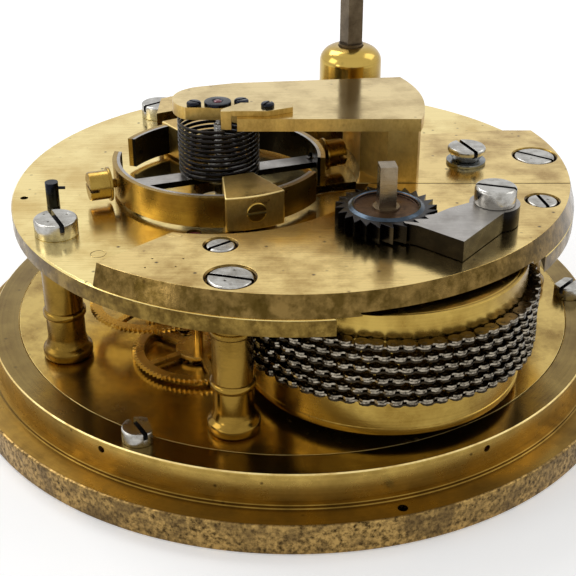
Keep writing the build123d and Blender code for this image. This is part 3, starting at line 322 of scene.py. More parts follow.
    def stained(self, tree: Tree, finish: Finish, place: Socket, under: Socket) -> Socket:
        """Stains of another tone with ragged borders, some millimetres across.

        Args:
            tree: The material's tree.
            finish: The metal and its working.
            place: The place on the piece.
            under: The colour under the stains.

        Returns:
            The colour with its stains.
        """
        node = self.node
        spread = node(tree, "ShaderNodeTexNoise",
                      {"Scale": 1.0 / (finish.stain_size * MM), "Detail": 8.0, "Roughness": 0.72},
                      {"Vector": place})
        share = node(tree, "ShaderNodeMapRange",
                     {"From Min": 0.46, "From Max": 0.58, "To Min": 0.0, "To Max": 0.7},
                     {"Value": spread.outputs["Fac"]})
        return node(tree, "ShaderNodeMix", {"data_type": "RGBA", 7: linear(finish.stain)},
                    {0: share.outputs["Result"], 6: under}).outputs[2]


# Lacquered brass plates, stoned to a straight grain: pale gold with grey-brown age clouds.
BRASS_PLATE = Finish("lacquered_brass_plate", "F0DA94", "BC9A4E", 0.15, Pattern.GRAINED, grain=0.28,
                     grain_angle=20.0, depth=0.2, wear=0.7, cloud=8.0, specks=0.9)
# The two bridges: a little warmer, with a grain from front to back.
BRASS_BRIDGE = Finish("lacquered_brass_bridge", "E2C680", "9E7E3E", 0.17, Pattern.GRAINED, grain=0.26,
                      grain_angle=75.0, depth=0.3, wear=0.9, cloud=6.0, specks=0.9)
# The cock: greyer gold, worn where fingers hold it.
BRASS_COCK = Finish("lacquered_brass_cock", "E0C88C", "AE9459", 0.14, Pattern.GRAINED, grain=0.26,
                    grain_angle=92.0, depth=0.22, wear=0.9, cloud=6.0, specks=0.5)
# Edges of the back plate and of the rear and fusee bridges: filed and unpolished, with pits, and painted
# darker than the tops as painted shade.
BRASS_EDGE_SHADE = Finish("filed_brass_edges_painted_shade", "8A7138", "523E19", 0.27, Pattern.FILED, grain=0.4, depth=0.7,
                    wear=0.9, cloud=2.0, specks=0.9, stain="4A3815", stain_size=3.5)
# Bevelled front of the barrel bar: polished, and painted dark olive as painted shade; the deeper floors of
# its marks take the same painted shade.
BRASS_BEVEL_SHADE = Finish("painted_shade_bevel_brass", "82693A", "4E3D1A", 0.17, Pattern.FILED, grain=0.4, depth=0.6,
                     wear=0.9, cloud=2.0, specks=0.9, stain="45350F", stain_size=3.0)
# Turned brass of the balance's rim and nuts, the potence and the fusee: satin, and painted darker to
# mustard as a painted dark reflection of the surroundings in its upright faces.
BRASS_TURNED = Finish("turned_brass", "9C803C", "6E511E", 0.25, Pattern.TURNED, grain=0.22, wear=0.8,
                      cloud=6.0, specks=0.3)
# Pillars: the same, painted a shade deeper still as painted shade between the plates.
BRASS_PILLAR_SHADE = Finish("turned_pillar_brass_painted_shade", "8C6E2E", "5C4417", 0.22, Pattern.TURNED, grain=0.22, wear=0.8,
                      cloud=6.0, specks=0.3)
# Weights, and the upright sides of the cock and its clamp: satin from the file, paler than a worn top. On
# the cock and the clamp the sides' deeper mustard is painted shade.
BRASS_SATIN_SIDE_SHADE = Finish("satin_brass_and_side_shade", "CDAE66", "8F7236", 0.33, Pattern.FILED, grain=0.3, depth=0.3,
                    wear=0.8, cloud=4.0, specks=0.3)
# Painted highlight: pale brass on the broken upper corners, which show as thin pale lines round the ring,
# the weights and the joint, and on the floors of shallow scratches.
BRASS_CORNER_HIGHLIGHT = Finish("painted_highlight_corner_brass", "E6D090", "B39450", 0.42, Pattern.FILED, grain=0.5, depth=0.2,
                      wear=0.6, cloud=3.0)
# Barrel, boss and weight screws: turned too, and brighter, because hands and the chain keep them clean.
BRASS_BRIGHT = Finish("bright_turned_brass", "B99C4F", "866829", 0.2, Pattern.TURNED, grain=0.22, wear=0.8,
                      cloud=7.0, specks=0.3)
# Wall of the mounting ring: turned, satin and greenish under old lacquer.
BRASS_RING = Finish("turned_ring_brass", "C0A256", "846A30", 0.25, Pattern.TURNED, grain=0.3, wear=0.8,
                    cloud=8.0, specks=0.8)
# Top of the ring: polished with the plate, so that it mirrors the pillars' feet, and painted darker as a
# painted dark reflection.
BRASS_RIM_TOP_REFLECTION = Finish("ring_top_brass_painted_reflection", "8A7440", "604A20", 0.18, Pattern.TURNED, grain=0.3,
                       depth=0.2, wear=0.8, cloud=8.0, specks=0.6)
# Foot and flange of the ring: painted darker brown low down, as a painted dark reflection.
BRASS_FOOT_REFLECTION = Finish("ring_foot_brass_painted_reflection", "886B2E", "5A4319", 0.3, Pattern.TURNED, grain=0.3, depth=0.3,
                     wear=0.8, cloud=6.0, specks=0.6)
# Pillar plate: polished like a mirror, amber with old oil.
BRASS_MIRROR = Finish("polished_plate_brass", "C8AC62", "86692F", 0.19, Pattern.POLISHED, grain=0.8,
                      depth=0.04, wear=0.9, specks=0.5)
# Rim of the flange: filed rough and never lacquered, so it is mottled brown with darker scars.
BRASS_FILED = Finish("filed_flange_brass", "B8975A", "3C2C14", 0.38, Pattern.FILED, grain=0.26, depth=1.0,
                     wear=0.95, cloud=0.55, stain="57452B", stain_size=7.0)
# Cut wheels: even brass.
BRASS_WHEEL = Finish("wheel_brass", "D9B86A", "A9853C", 0.22, Pattern.TURNED, grain=0.2, depth=0.2,
                     cloud=6.0)
# Polished screw heads and staff: neutral grey that mirrors the room.
STEEL = Finish("polished_steel", "BAB8B2", "7C7870", 0.22, Pattern.GRAINED, grain=0.2, grain_angle=30.0,
               depth=0.4, wear=0.8, cloud=1.6, specks=0.5)
# Grey steel, grained by hand.
STEEL_GREY = Finish("grained_steel", "A9A5A0", "75706B", 0.3, Pattern.GRAINED, grain=0.18, grain_angle=48.0,
                    depth=0.3, cloud=3.0)
# Painted shade: black steel on the sides and undersides of the click, the sides of the balance's arm and
# the insides of slots.
STEEL_SHADE_BLACK = Finish("painted_shade_black_steel", "1A1817", "0F0D0C", 0.26, Pattern.GRAINED, grain=0.2,
                     grain_angle=10.0, depth=0.2, cloud=2.0)
# Ratchet wheel: black oiled steel.
STEEL_OILED = Finish("oiled_ratchet_steel", "2C2A2B", "171412", 0.24, Pattern.TURNED, grain=0.2, cloud=2.0)
# Heat-blued steel: slate, nearly black where the blue has worn to grey.
STEEL_BLUE = Finish("blued_steel", "23252B", "141519", 0.2, Pattern.POLISHED, grain=0.3, depth=0.1,
                    wear=0.7, cloud=1.2)
# The collar's washer: blue that has faded to a cool grey.
STEEL_FADED = Finish("faded_blue_steel", "868A8C", "5C6064", 0.2, Pattern.POLISHED, grain=0.3, depth=0.1,
                     wear=0.7, cloud=1.5)
# Ring round the set-up square: blue that has gone to slate.
STEEL_SLATE = Finish("slate_blue_steel", "3C4650", "22282E", 0.2, Pattern.POLISHED, grain=0.3, depth=0.1,
                     wear=0.7, cloud=1.5)
# Rusted recess of the ratchet wheel: matt red-brown.
STEEL_RUSTED = Finish("rusted_recess_steel", "5E4530", "36261A", 0.32, Pattern.POLISHED, grain=0.3,
                      depth=0.3, wear=0.8, cloud=1.0)
# Arbors: brown with old oil.
STEEL_BROWN = Finish("oiled_arbor_steel", "605340", "3B3022", 0.28, Pattern.GRAINED, grain=0.22, depth=0.3,
                     wear=0.6, cloud=2.5)
# Set-up square and arbor of the barrel: greyer, wiped clean.
STEEL_WIPED = Finish("wiped_arbor_steel", "8E806A", "5C4F3D", 0.25, Pattern.GRAINED, grain=0.22, depth=0.3,
                     wear=0.6, cloud=2.5)
# Flats of the chain's plates: brown-black with oil, tinted olive as a painted reflection of the brass
# barrel.
CHAIN_STEEL = Finish("chain_steel", "6E5E42", "33291B", 0.2, Pattern.POLISHED, grain=0.25, depth=0.3,
                     wear=0.9, cloud=0.9)
# Shaded edges of the chain's lower plates: black.
CHAIN_DARK = Finish("shaded_chain_steel", "3C3428", "1D1811", 0.3, Pattern.POLISHED, grain=0.3, depth=0.3,
                    wear=0.8, cloud=0.9)
# Edges of the chain's upper plates: painted highlight, bright in patches.
CHAIN_HIGHLIGHT = Finish("painted_highlight_chain_steel", "A89E8C", "2C261D", 0.2, Pattern.POLISHED, grain=0.3, depth=0.3,
                    wear=1.0, cloud=0.5)
# Hairspring: tempered dark.
SPRING_STEEL = Finish("tempered_spring_steel", "262322", "121010", 0.22, Pattern.POLISHED, grain=0.3,
                      depth=0.1, cloud=2.0)
# Dial: silvered and matt.
SILVERED = Finish("silvered_brass", "D9D6CD", "BDB8AA", 0.42, Pattern.TURNED, grain=0.3, depth=0.1,
                  wear=0.4, cloud=14.0)
# Black wax that fills the dial's figures.
WAX = Finish("dial_black_wax", "15140F", "0D0C09", 0.35, Pattern.POLISHED, grain=0.4, depth=0.0, wear=0.3,
             cloud=3.0, metallic=0.0)
# Ruby: deep pink-red, polished.
RUBY = Finish("polished_ruby", "7C2436", "4A1420", 0.06, Pattern.POLISHED, grain=0.5, depth=0.0, wear=0.4,
              cloud=1.0, metallic=0.0)


@dataclass(frozen=True)
class Place:
    """Where a copy of an upright piece stands, with its turn in degrees."""

    at: Point
    height: float = 0.0
    angle: float = 0.0

    def matrix(self) -> Matrix:
        """The place as a matrix in metres."""
        turn = Matrix.Rotation(math.radians(self.angle), 4, "Z")
        return Matrix.Translation(metres(self.at, self.height)) @ turn

    def lying(self) -> Matrix:
        """The place of a piece that is turned upright and then laid down to point along its angle."""
        return self.matrix() @ Matrix.Rotation(math.radians(90), 4, "Y")


class Bench:
    """Mesh tools: every piece starts as a primitive and is worked in edit mode or by modifiers."""

    # Points nearer than these are one point: in worked pieces, and in copies of CAD nodes.
    merge = 0.001
    merge_copy = 0.0005
    # Neighbouring faces of a CAD node that turn less than this are one face, in degrees.
    same_face = 0.6
    # How far a drill or a file reaches past the face that it enters.
    past = 1.0

    @staticmethod
    def clear() -> None:
        """Leaves edit mode and deselects everything."""
        if bpy.context.object and bpy.context.object.mode != "OBJECT":
            bpy.ops.object.mode_set(mode="OBJECT")
        bpy.ops.object.select_all(action="DESELECT")

    @staticmethod
    def pick(piece: Piece) -> None:
        """Makes a piece the only selected and the active object.

        Args:
            piece: The piece.
        """
        Bench.clear()
        piece.select_set(True)
        bpy.context.view_layer.objects.active = piece

    @staticmethod
    @contextmanager
    def editing() -> Iterator[None]:
        """Edit mode for the active piece, with all of its mesh selected.

        Yields:
            Nothing: the mesh is worked inside the with block.
        """
        bpy.ops.object.mode_set(mode="EDIT")
        bpy.ops.mesh.select_all(action="SELECT")
        yield
        bpy.ops.object.mode_set(mode="OBJECT")

    @staticmethod
    def face_outwards() -> None:
        """Turns all faces of the mesh in edit mode outwards."""
        bpy.ops.mesh.select_all(action="SELECT")
        bpy.ops.mesh.normals_make_consistent(inside=False)

    @staticmethod
    def settle(piece: Piece) -> Piece:
        """Puts the piece's place into its mesh.

        Args:
            piece: The piece.

        Returns:
            The piece, at the origin.
        """
        Bench.pick(piece)
        bpy.ops.object.transform_apply(location=True, rotation=True, scale=True)
        return piece

    @staticmethod
    def apply(piece: Piece, name: str) -> None:
        """Applies one modifier."""
        Bench.pick(piece)
        bpy.ops.object.modifier_apply(modifier=name)

    @staticmethod
    def outward(piece: Piece) -> Piece:
        """Merges doubles and turns all faces outwards.

        Args:
            piece: The piece.

        Returns:
            The piece.
        """
        Bench.pick(piece)
        with Bench.editing():
            bpy.ops.mesh.remove_doubles(threshold=Bench.merge * MM)
            Bench.face_outwards()
        return piece

    @staticmethod
    def lathe(name: str, profile: Profile, at: Point = CENTRE, segments: int = 96,
              ring: bool = False) -> Piece:
        """Turns a profile about an upright axis: a circle that is extruded and resized in steps.

        Args:
            name: The piece's name.
            profile: Points of radius and height, from the underside outwards and up.
            at: The axis in plan.
            segments: Sides of the circle.
            ring: True where the profile closes on itself, and False where both ends are flat faces.

        Returns:
            The turned piece.
        """
        Bench.clear()
        radius, height = profile[0]
        bpy.ops.mesh.primitive_circle_add(vertices=segments, radius=radius * MM,
                                          fill_type="NOTHING" if ring else "NGON",
                                          location=metres(at, height))
        piece = bpy.context.object
        piece.name = name
        with Bench.editing():
            for radius_next, height_next in profile[1:]:
                bpy.ops.mesh.extrude_region_move(
                    TRANSFORM_OT_translate={"value": (0.0, 0.0, (height_next - height) * MM)})
                grow = radius_next / radius
                bpy.ops.transform.resize(value=(grow, grow, 1.0), center_override=metres(at, height_next))
                radius, height = radius_next, height_next
            if ring:
                bpy.ops.mesh.select_mode(type="EDGE")
                bpy.ops.mesh.select_all(action="DESELECT")
                bpy.ops.mesh.select_non_manifold()
                bpy.ops.mesh.bridge_edge_loops()
                bpy.ops.mesh.select_mode(type="VERT")
            Bench.face_outwards()
        return Bench.settle(piece)

    @staticmethod
    def washer(name: str, inner: float, outer: float, low: float, high: float, at: Point = CENTRE,
               segments: int = 96) -> Piece:
        """Ring with a rectangular section, mostly used as a trepanning tool.

        Args:
            name: The piece's name.
            inner: Radius of the bore.
            outer: Outer radius.
            low: Underside.
            high: Top.
            at: The axis in plan.
            segments: Sides of the circle.

        Returns:
            The ring.
        """
        corners = [(inner, low), (outer, low), (outer, high), (inner, high)]
        return Bench.lathe(name, corners, at, segments, True)

    @staticmethod
    def rod(radius: float, low: float, high: float, at: Point, segments: int = 64) -> Piece:
        """Plain upright rod, mostly used as a drill.

        Args:
            radius: Its radius.
            low: Lower end.
            high: Upper end.
            at: Its axis in plan.
            segments: Sides of the circle.

        Returns:
            The rod.
        """
        Bench.clear()
        bpy.ops.mesh.primitive_cylinder_add(vertices=segments, radius=radius * MM, depth=(high - low) * MM,
                                            location=metres(at, (low + high) / 2))
        return Bench.settle(bpy.context.object)

    @staticmethod
    def bar(size: tuple[float, float], low: float, high: float, at: Point, angle: float = 0.0) -> Piece:
        """Upright block, mostly used as a file.

        Args:
            size: Its length and width in plan.
            low: Underside.
            high: Top.
            at: Its middle in plan.
            angle: Turn of its length, in degrees.

        Returns:
            The block.
        """
        Bench.clear()
        bpy.ops.mesh.primitive_cube_add(
            size=1.0, location=metres(at, (low + high) / 2), rotation=(0.0, 0.0, math.radians(angle)),
            scale=metres(size, high - low))
        return Bench.settle(bpy.context.object)

    @staticmethod
    def sheet(name: str, outline: Sequence[Point], low: float, high: float) -> Piece:
        """Flat piece: a filled circle whose points are moved to the outline, then extruded.

        Args:
            name: The piece's name.
            outline: Points in plan, in order.
            low: Underside.
            high: Top.

        Returns:
            The piece.
        """
        Bench.clear()
        bpy.ops.mesh.primitive_circle_add(vertices=len(outline), radius=MM, fill_type="NGON")
        piece = bpy.context.object
        piece.name = name
        for vertex, point in zip(piece.data.vertices, outline):
            vertex.co = metres(point, low)
        with Bench.editing():
            bpy.ops.mesh.extrude_region_move(
                TRANSFORM_OT_translate={"value": (0.0, 0.0, (high - low) * MM)})
            Bench.face_outwards()
        return piece

    @staticmethod
    def combine(piece: Piece, others: Sequence[Piece], work: Work = Work.CUT) -> Piece:
        """Cuts, joins or intersects by boolean modifiers, and removes the other pieces.

        Args:
            piece: The piece that is kept.
            others: The pieces that cut it, or are joined to it.
            work: What they do to it.

        Returns:
            The worked piece.
        """
        for other in others:
            modifier = piece.modifiers.new("shape", "BOOLEAN")
            modifier.operation = work.value
            modifier.solver = "EXACT"
            modifier.object = other
            Bench.apply(piece, modifier.name)
            bpy.data.objects.remove(other, do_unlink=True)
        return piece

    @staticmethod
    def soften(piece: Piece, width: float, segments: int = 2, angle: float = 32.0) -> Piece:
        """Breaks the sharp edges with a bevel and smooths the rest.

        Args:
            piece: The piece.
            width: Width of the broken edges, or 0 to smooth only.
            segments: Steps of the bevel.
            angle: Edges sharper than this are broken and stay visible.

        Returns:
            The piece.
        """
        if width > 0:
            modifier = piece.modifiers.new("edges", "BEVEL")
            modifier.width = width * MM
            modifier.segments = segments
            modifier.limit_method = "ANGLE"
            modifier.angle_limit = math.radians(angle)
            modifier.use_clamp_overlap = True
            Bench.apply(piece, modifier.name)
        Bench.pick(piece)
        bpy.ops.object.shade_smooth_by_angle(angle=math.radians(angle))
        flats = piece.modifiers.new("flats", "WEIGHTED_NORMAL")
        flats.keep_sharp = True
        flats.weight = 90
        Bench.apply(piece, flats.name)
        return piece

    @staticmethod
    def join(name: str, pieces: Sequence[Piece]) -> Piece:
        """Joins pieces into one object.

        Args:
            name: The joined object's name.
            pieces: The pieces, at least one.

        Returns:
            The joined object.
        """
        Bench.clear()
        for piece in pieces:
            piece.select_set(True)
        bpy.context.view_layer.objects.active = pieces[0]
        if len(pieces) > 1:
            bpy.ops.object.join()
        joined = bpy.context.object
        joined.name = name
        return Bench.settle(joined)

    @staticmethod
    def repeat(name: str, pattern: Piece, places: Sequence[Matrix]) -> Piece:
        """Copies a piece to each place, every copy with its own mesh, and joins the copies.

        Args:
            name: The joined object's name.
            pattern: The piece, which is removed afterwards.
            places: One matrix for each copy.

        Returns:
            The joined copies.
        """
        copies = []
        for matrix in places:
            twin = pattern.copy()
            twin.data = pattern.data.copy()
            bpy.context.scene.collection.objects.link(twin)
            twin.matrix_world = matrix @ pattern.matrix_world
            copies.append(twin)
        bpy.data.objects.remove(pattern, do_unlink=True)
        return Bench.join(name, copies)

    @staticmethod
    def from_node(node: str, edge: float = 0.0) -> Piece:
        """Copies a CAD node, merges its loose triangles and breaks its edges.

        Args:
            node: The CAD node.
            edge: Width of the broken edges, or 0 to smooth only.

        Returns:
            The piece.
        """
        source = bpy.data.objects[node]
        piece = bpy.data.objects.new(f"{node}_finished", source.data.copy())
        piece.data.materials.clear()
        bpy.context.scene.collection.objects.link(piece)
        Bench.pick(piece)
        with Bench.editing():
            bpy.ops.mesh.remove_doubles(threshold=Bench.merge_copy * MM)
            bpy.ops.mesh.dissolve_limited(angle_limit=math.radians(Bench.same_face))
        return Bench.soften(piece, edge)


class Shop:
    """Hands finished pieces to the frame."""

    def __init__(self) -> None:
        """Starts with a painter of its own."""
        self.painter = Painter()

    def fit(self, piece: Piece, body: str, finish: Finish, slot: str = "", nodes: Sequence[str] = (),
            axis: Point = CENTRE) -> Piece:
        """Paints a piece, lets it ride on its body and stand for its CAD nodes.

        Args:
            piece: The finished piece.
            body: The CAD body that carries it.
            finish: Its metal.
            slot: The record's material slot, or none for a finish that the record lacks; not used.
            nodes: The CAD nodes that it stands for.
            axis: The axis of its turning marks.

        Returns:
            The piece.
        """
        piece.data.materials.clear()
        piece.data.materials.append(self.painter.metal(finish, axis))
        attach(piece, body)
        if nodes:
            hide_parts(*nodes)
        LOG.info("%s: %d faces on %s", piece.name, len(piece.data.polygons), body)
        return piece

    def dress(self, node: str, body: str, finish: Finish, slot: str, edge: float = 0.06,
              axis: Point = CENTRE) -> Piece:
        """Fits a softened copy of a CAD node in its place."""
        return self.fit(Bench.from_node(node, edge), body, finish, slot, (node,), axis)

    def second_finish(self, piece: Piece, finish: Finish, chosen: Callable[[Face], bool]) -> None:
        """Gives some faces of a piece another finish.

        Args:
            piece: A piece that already has its main finish.
            finish: The other finish.
            chosen: True for the faces that take it.
        """
        piece.data.materials.append(self.painter.metal(finish))
        faces = [face for face in piece.data.polygons if chosen(face)]
        for face in faces:
            face.material_index = len(piece.data.materials) - 1
        LOG.info("%s: %d faces are %s", piece.name, len(faces), finish.name)

    def finish_sides(self, piece: Piece, finish: Finish, steepest: float = 0.55) -> None:
        """Gives the faces of a piece that don't lie flat another finish than its flats."""
        self.second_finish(piece, finish, lambda face: abs(face.normal.z) < steepest)

    def rub_corners(self, piece: Piece) -> None:
        """Paints highlights on the broken upper edges of a piece, which look up and outwards: bright lines.
        """
        self.second_finish(piece, BRASS_CORNER_HIGHLIGHT, lambda face: 0.2 < face.normal.z < 0.95)


def top(node: str) -> float:
    """Highest point of a CAD node in millimetres."""
    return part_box(node)[1].z / MM


def low(node: str) -> float:
    """Lowest point of a CAD node in millimetres."""
    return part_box(node)[0].z / MM


def middle(node: str) -> float:
    """Height of the middle of a CAD node in millimetres."""
    return (low(node) + top(node)) / 2


def radius_of(node: str) -> float:
    """Half the width of a CAD node in millimetres."""
    least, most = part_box(node)
    return (most.x - least.x) / 2 / MM


def rounded(radius: float, high: float, edge: float, steps: int = 4) -> list[Point]:
    """Profile points of a rounded top edge, from the side up to the flat top."""
    return [(radius - edge + edge * math.cos(math.radians(90 * i / steps)),
             high - edge + edge * math.sin(math.radians(90 * i / steps))) for i in range(steps + 1)]


@dataclass
class MountingRing:
    """Brass ring with its rough filed flange, foot lines, turned wall and small holes."""

    shop: Shop
    flange_height: float = 4.06
    flange_round: float = 0.3
    round_middle: float = 0.09
    foot: float = 42.0
    foot_height: float = 0.5
    foot_fillet: Point = (0.12, 0.1)
    foot_corner: Point = (0.1, 0.08)
    wall: float = 41.25
    wall_corner: float = 0.14
    joint: float = 37.67
    joint_corner: float = 0.09
    ledge: float = 5.7
    bore: float = 35.3
    segments: int = 288
    wall_holes: tuple[float, ...] = (-122.5, -57.05)
    wall_hole_radius: float = 0.45
    wall_hole_below_top: float = 1.25
    wall_hole_reach: float = 1.5
    flange_hole: Point = spot(CENTRE, -73.7, 43.54)
    flange_hole_radius: float = 0.6
    flange_hole_floor: float = 0.6

    def build(self) -> None:
        """Turns the ring, drills it and leaves its rim rough."""
        high = top("mounting_ring")
        ring = Bench.lathe("ring", self.profile(), CENTRE, self.segments, True)
        drills = [self.wall_drill(angle, high - self.wall_hole_below_top) for angle in self.wall_holes]
        drills.append(Bench.rod(self.flange_hole_radius, self.flange_hole_floor,
                                self.flange_height + Bench.past, self.flange_hole, 24))
        Bench.soften(Bench.combine(ring, drills), 0.0)
        self.shop.fit(ring, "movement", BRASS_RING, "ring_brass", ("mounting_ring",))
        self.age(ring, high)

    def profile(self) -> Profile:
        """Section of the ring, from its bore outwards over the flange, the foot and the wall.

        Returns:
            Points of radius and height.
        """
        rim, high = radius_of("mounting_ring"), top("mounting_ring")
        edge, cut, step = self.flange_round, self.round_middle, self.flange_height
        foot_top = step + self.foot_height
        return [
            (self.bore, 0.0), (rim - edge, 0.0), (rim - cut, cut), (rim, edge), (rim, step - edge),
            (rim - cut, step - cut), (rim - edge, step), (self.foot + self.foot_fillet[0], step),
            (self.foot, step + self.foot_fillet[1]), (self.foot, foot_top - self.foot_corner[1]),
            (self.foot - self.foot_corner[0], foot_top), (self.wall, foot_top),
            (self.wall, high - self.wall_corner), (self.wall - self.wall_corner, high),
            (self.joint + self.joint_corner, high), (self.joint, high - self.joint_corner),
            (self.joint, self.ledge), (self.bore, self.ledge),
        ]

    def wall_drill(self, angle: float, height: float) -> Piece:
        """Drill that lies flat and points through the wall at the axis.

        Args:
            angle: Where it enters the wall, in degrees.
            height: Height of the hole.

        Returns:
            The drill.
        """
        drill = Bench.rod(self.wall_hole_radius, -self.wall_hole_reach, self.wall_hole_reach, CENTRE, 24)
        drill.matrix_world = Place(spot(CENTRE, angle, self.wall), height, angle).lying()
        return Bench.settle(drill)

    def age(self, ring: Piece, high: float) -> None:
        """Gives the foot, the top, the corner lines and the filed rim their own finishes: a painted dark
        reflection on the foot, the flange and the top, and a painted highlight on the corner lines.

        Args:
            ring: The ring, in the finish of its wall.
            high: Height of its top.
        """
        foot_top = (self.flange_height + self.foot_height + 0.01) * MM
        flat_top = (high - 0.02) * MM
        corners = (high - 0.2) * MM
        rim = (radius_of("mounting_ring") - self.flange_round + 0.02) * MM
        # Painted dark reflection on the foot, the flange and the top; painted highlight on the corner
        # lines.
        for finish, chosen in (
            (BRASS_FOOT_REFLECTION, lambda face: face.center.z < foot_top),
            (BRASS_RIM_TOP_REFLECTION, lambda face: face.normal.z > 0.95 and face.center.z > flat_top),
            (BRASS_CORNER_HIGHLIGHT, lambda face: 0.3 < face.normal.z < 0.95 and face.center.z > corners),
            (BRASS_FILED, lambda face: face.center.to_2d().length > rim),
        ):
            self.shop.second_finish(ring, finish, chosen)


@dataclass
class Plates:
    """Pillar plate, back plate, the flush bridges and the fusee bar."""

    shop: Shop
    plug: Point = (-23.0, -21.3)
    plug_radius: float = 0.86
    plug_line: float = 0.1
    plug_depth: float = 0.06
    joint: float = -6.4
    joint_width: float = 0.15
    joint_middle: float = 40.0
    joint_length: float = 60.0
    pits: tuple[Point, ...] = ((-15.83, -27.7), (-12.33, -27.7), (-16.4, -29.9), (-13.02, -29.63))
    pit_radius: float = 0.12
    pit_depth: float = 0.15
    scratches: int = 7
    scratch: Point = (-15.2, -21.6)
    scratch_step: Point = (0.95, 0.32)
    scratch_length: float = 2.8
    scratch_shorter: float = 0.2
    scratch_width: float = 0.13
    scratch_depth: float = 0.05
    scratch_angle: float = -24.0

    def build(self) -> None:
        """Finishes the plates from the lowest up."""
        plate = self.shop.dress("pillar_plate", "movement", BRASS_MIRROR, "ring_brass", 0.08)
        # Painted highlight on the plate's upper corners.
        self.shop.rub_corners(plate)
        self.back_plate()
        self.barrel_bar()
        for node, edge, steepest in (("rear_bridge", 0.12, 0.9), ("fusee_bar", 0.16, 0.55)):
            bridge = self.shop.dress(node, "movement", BRASS_BRIDGE, "lacquered_brass", edge)
            # Painted shade: the upright edges of the bridges are darker than their tops.
            self.shop.finish_sides(bridge, BRASS_EDGE_SHADE, steepest)

    def back_plate(self) -> None:
        """Round plate with the mark of a filled hole and the cut-out for the barrel."""
        high = top("back_plate")
        plate = Bench.from_node("back_plate")
        line = Bench.washer("plug_line", self.plug_radius, self.plug_radius + self.plug_line,
                            high - self.plug_depth, high + Bench.past, self.plug, 48)
        Bench.soften(Bench.combine(plate, [line]), 0.09)
        self.shop.fit(plate, "movement", BRASS_PLATE, "lacquered_brass", ("back_plate",))
        # Painted shade: the upright edges of the back plate are darker than its top.
        self.shop.finish_sides(plate, BRASS_EDGE_SHADE)

    def barrel_bar(self) -> None:
        """Front bridge with its punch marks, the scratches at its left end and the joint at its back."""
        high = top("barrel_bar")
        bar = Bench.from_node("barrel_bar")
        cutters = [Bench.rod(self.pit_radius, high - self.pit_depth, high + Bench.past, at, 12)
                   for at in self.pits]
        cutters += [self.scratch_file(i, high) for i in range(self.scratches)]
        cutters.append(Bench.bar((self.joint_length, self.joint_width), high - self.joint_width,
                                 high + Bench.past, (self.joint_middle, self.joint - self.joint_width / 2)))
        Bench.soften(Bench.combine(bar, cutters), 0.07)
        self.shop.fit(bar, "movement", BRASS_BRIDGE, "lacquered_brass", ("barrel_bar",))
        # Painted shade: the bar's bevelled front and other upright faces are dark olive.
        self.shop.finish_sides(bar, BRASS_BEVEL_SHADE, 0.9)
        # Painted highlight: the floors of the shallow scratches are pale.
        self.floors(bar, BRASS_CORNER_HIGHLIGHT, high - 0.1, high - 0.03)
        # Painted shade: the deeper floors of the pits and the joint are dark.
        self.floors(bar, BRASS_BEVEL_SHADE, high - 0.2, high - 0.1)

    def scratch_file(self, index: int, high: float) -> Piece:
        """File for one of the scratches, each a little shorter than the last.

        Args:
            index: Number of the scratch, from the left.
            high: Top of the bar.

        Returns:
            The file.
        """
        size = (self.scratch_length - self.scratch_shorter * index, self.scratch_width)
        (x, y), (step_x, step_y) = self.scratch, self.scratch_step
        at = (x + step_x * index, y + step_y * index)
        return Bench.bar(size, high - self.scratch_depth, high + Bench.past, at, self.scratch_angle)

    def floors(self, bar: Piece, finish: Finish, lowest: float, highest: float) -> None:
        """Gives the floors of the marks between two heights another finish: the shallow floors take a
        painted highlight and the deeper ones painted shade.

        Args:
            bar: The bar with its marks.
            finish: The floors' finish.
            lowest: Deeper floors keep theirs.
            highest: Shallower faces keep theirs.
        """
        self.shop.second_finish(
            bar, finish, lambda face: face.normal.z > 0.9 and lowest < face.center.z / MM < highest)


@dataclass
class Pillars:
    """Four turned pillars, modelled once."""

    shop: Shop
    pin: float = 1.5
    shaft: float = 2.4

    def build(self) -> None:
        """Turns one pillar and stands it at the four places."""
        pillar = Bench.soften(Bench.lathe("pillar", self.profile(), CENTRE, 72), 0.0, angle=48.0)
        turned = Bench.repeat("pillars_turned", pillar, [Place(at).matrix() for at in PILLARS])
        # Painted shade: the pillars are darker, standing between the plates.
        self.shop.fit(turned, "movement", BRASS_PILLAR_SHADE, "turned_brass", ("pillars",))

    def profile(self) -> Profile:
        """Section of a pillar: pin, moulded foot, taper, band, shaft and upper band.

        Returns:
            Points of radius and height.
        """
        foot, head = top("mounting_ring"), top("pillars")
        return [
            (self.pin, low("pillars")), (self.pin, foot),
            (2.75, foot), (2.98, foot + 0.1), (3.15, foot + 0.45), (3.15, foot + 1.2),
            (3.05, foot + 1.45), (2.75, foot + 1.7), (2.62, foot + 1.85), (2.55, foot + 2.3),
            (2.44, foot + 2.65), (self.shaft, foot + 3.1),
            (self.shaft, foot + 5.8), (2.56, foot + 5.88), (2.68, foot + 6.05), (2.7, foot + 6.35),
            (2.68, foot + 6.65), (2.56, foot + 6.82), (self.shaft, foot + 6.9),
            (self.shaft, head - 2.1), (2.56, head - 2.02), (2.62, head - 1.85), (2.62, head - 1.55),
            (2.56, head - 1.38), (self.shaft, head - 1.3),
            (self.shaft, head - 0.05), (self.shaft - 0.05, head),
        ]


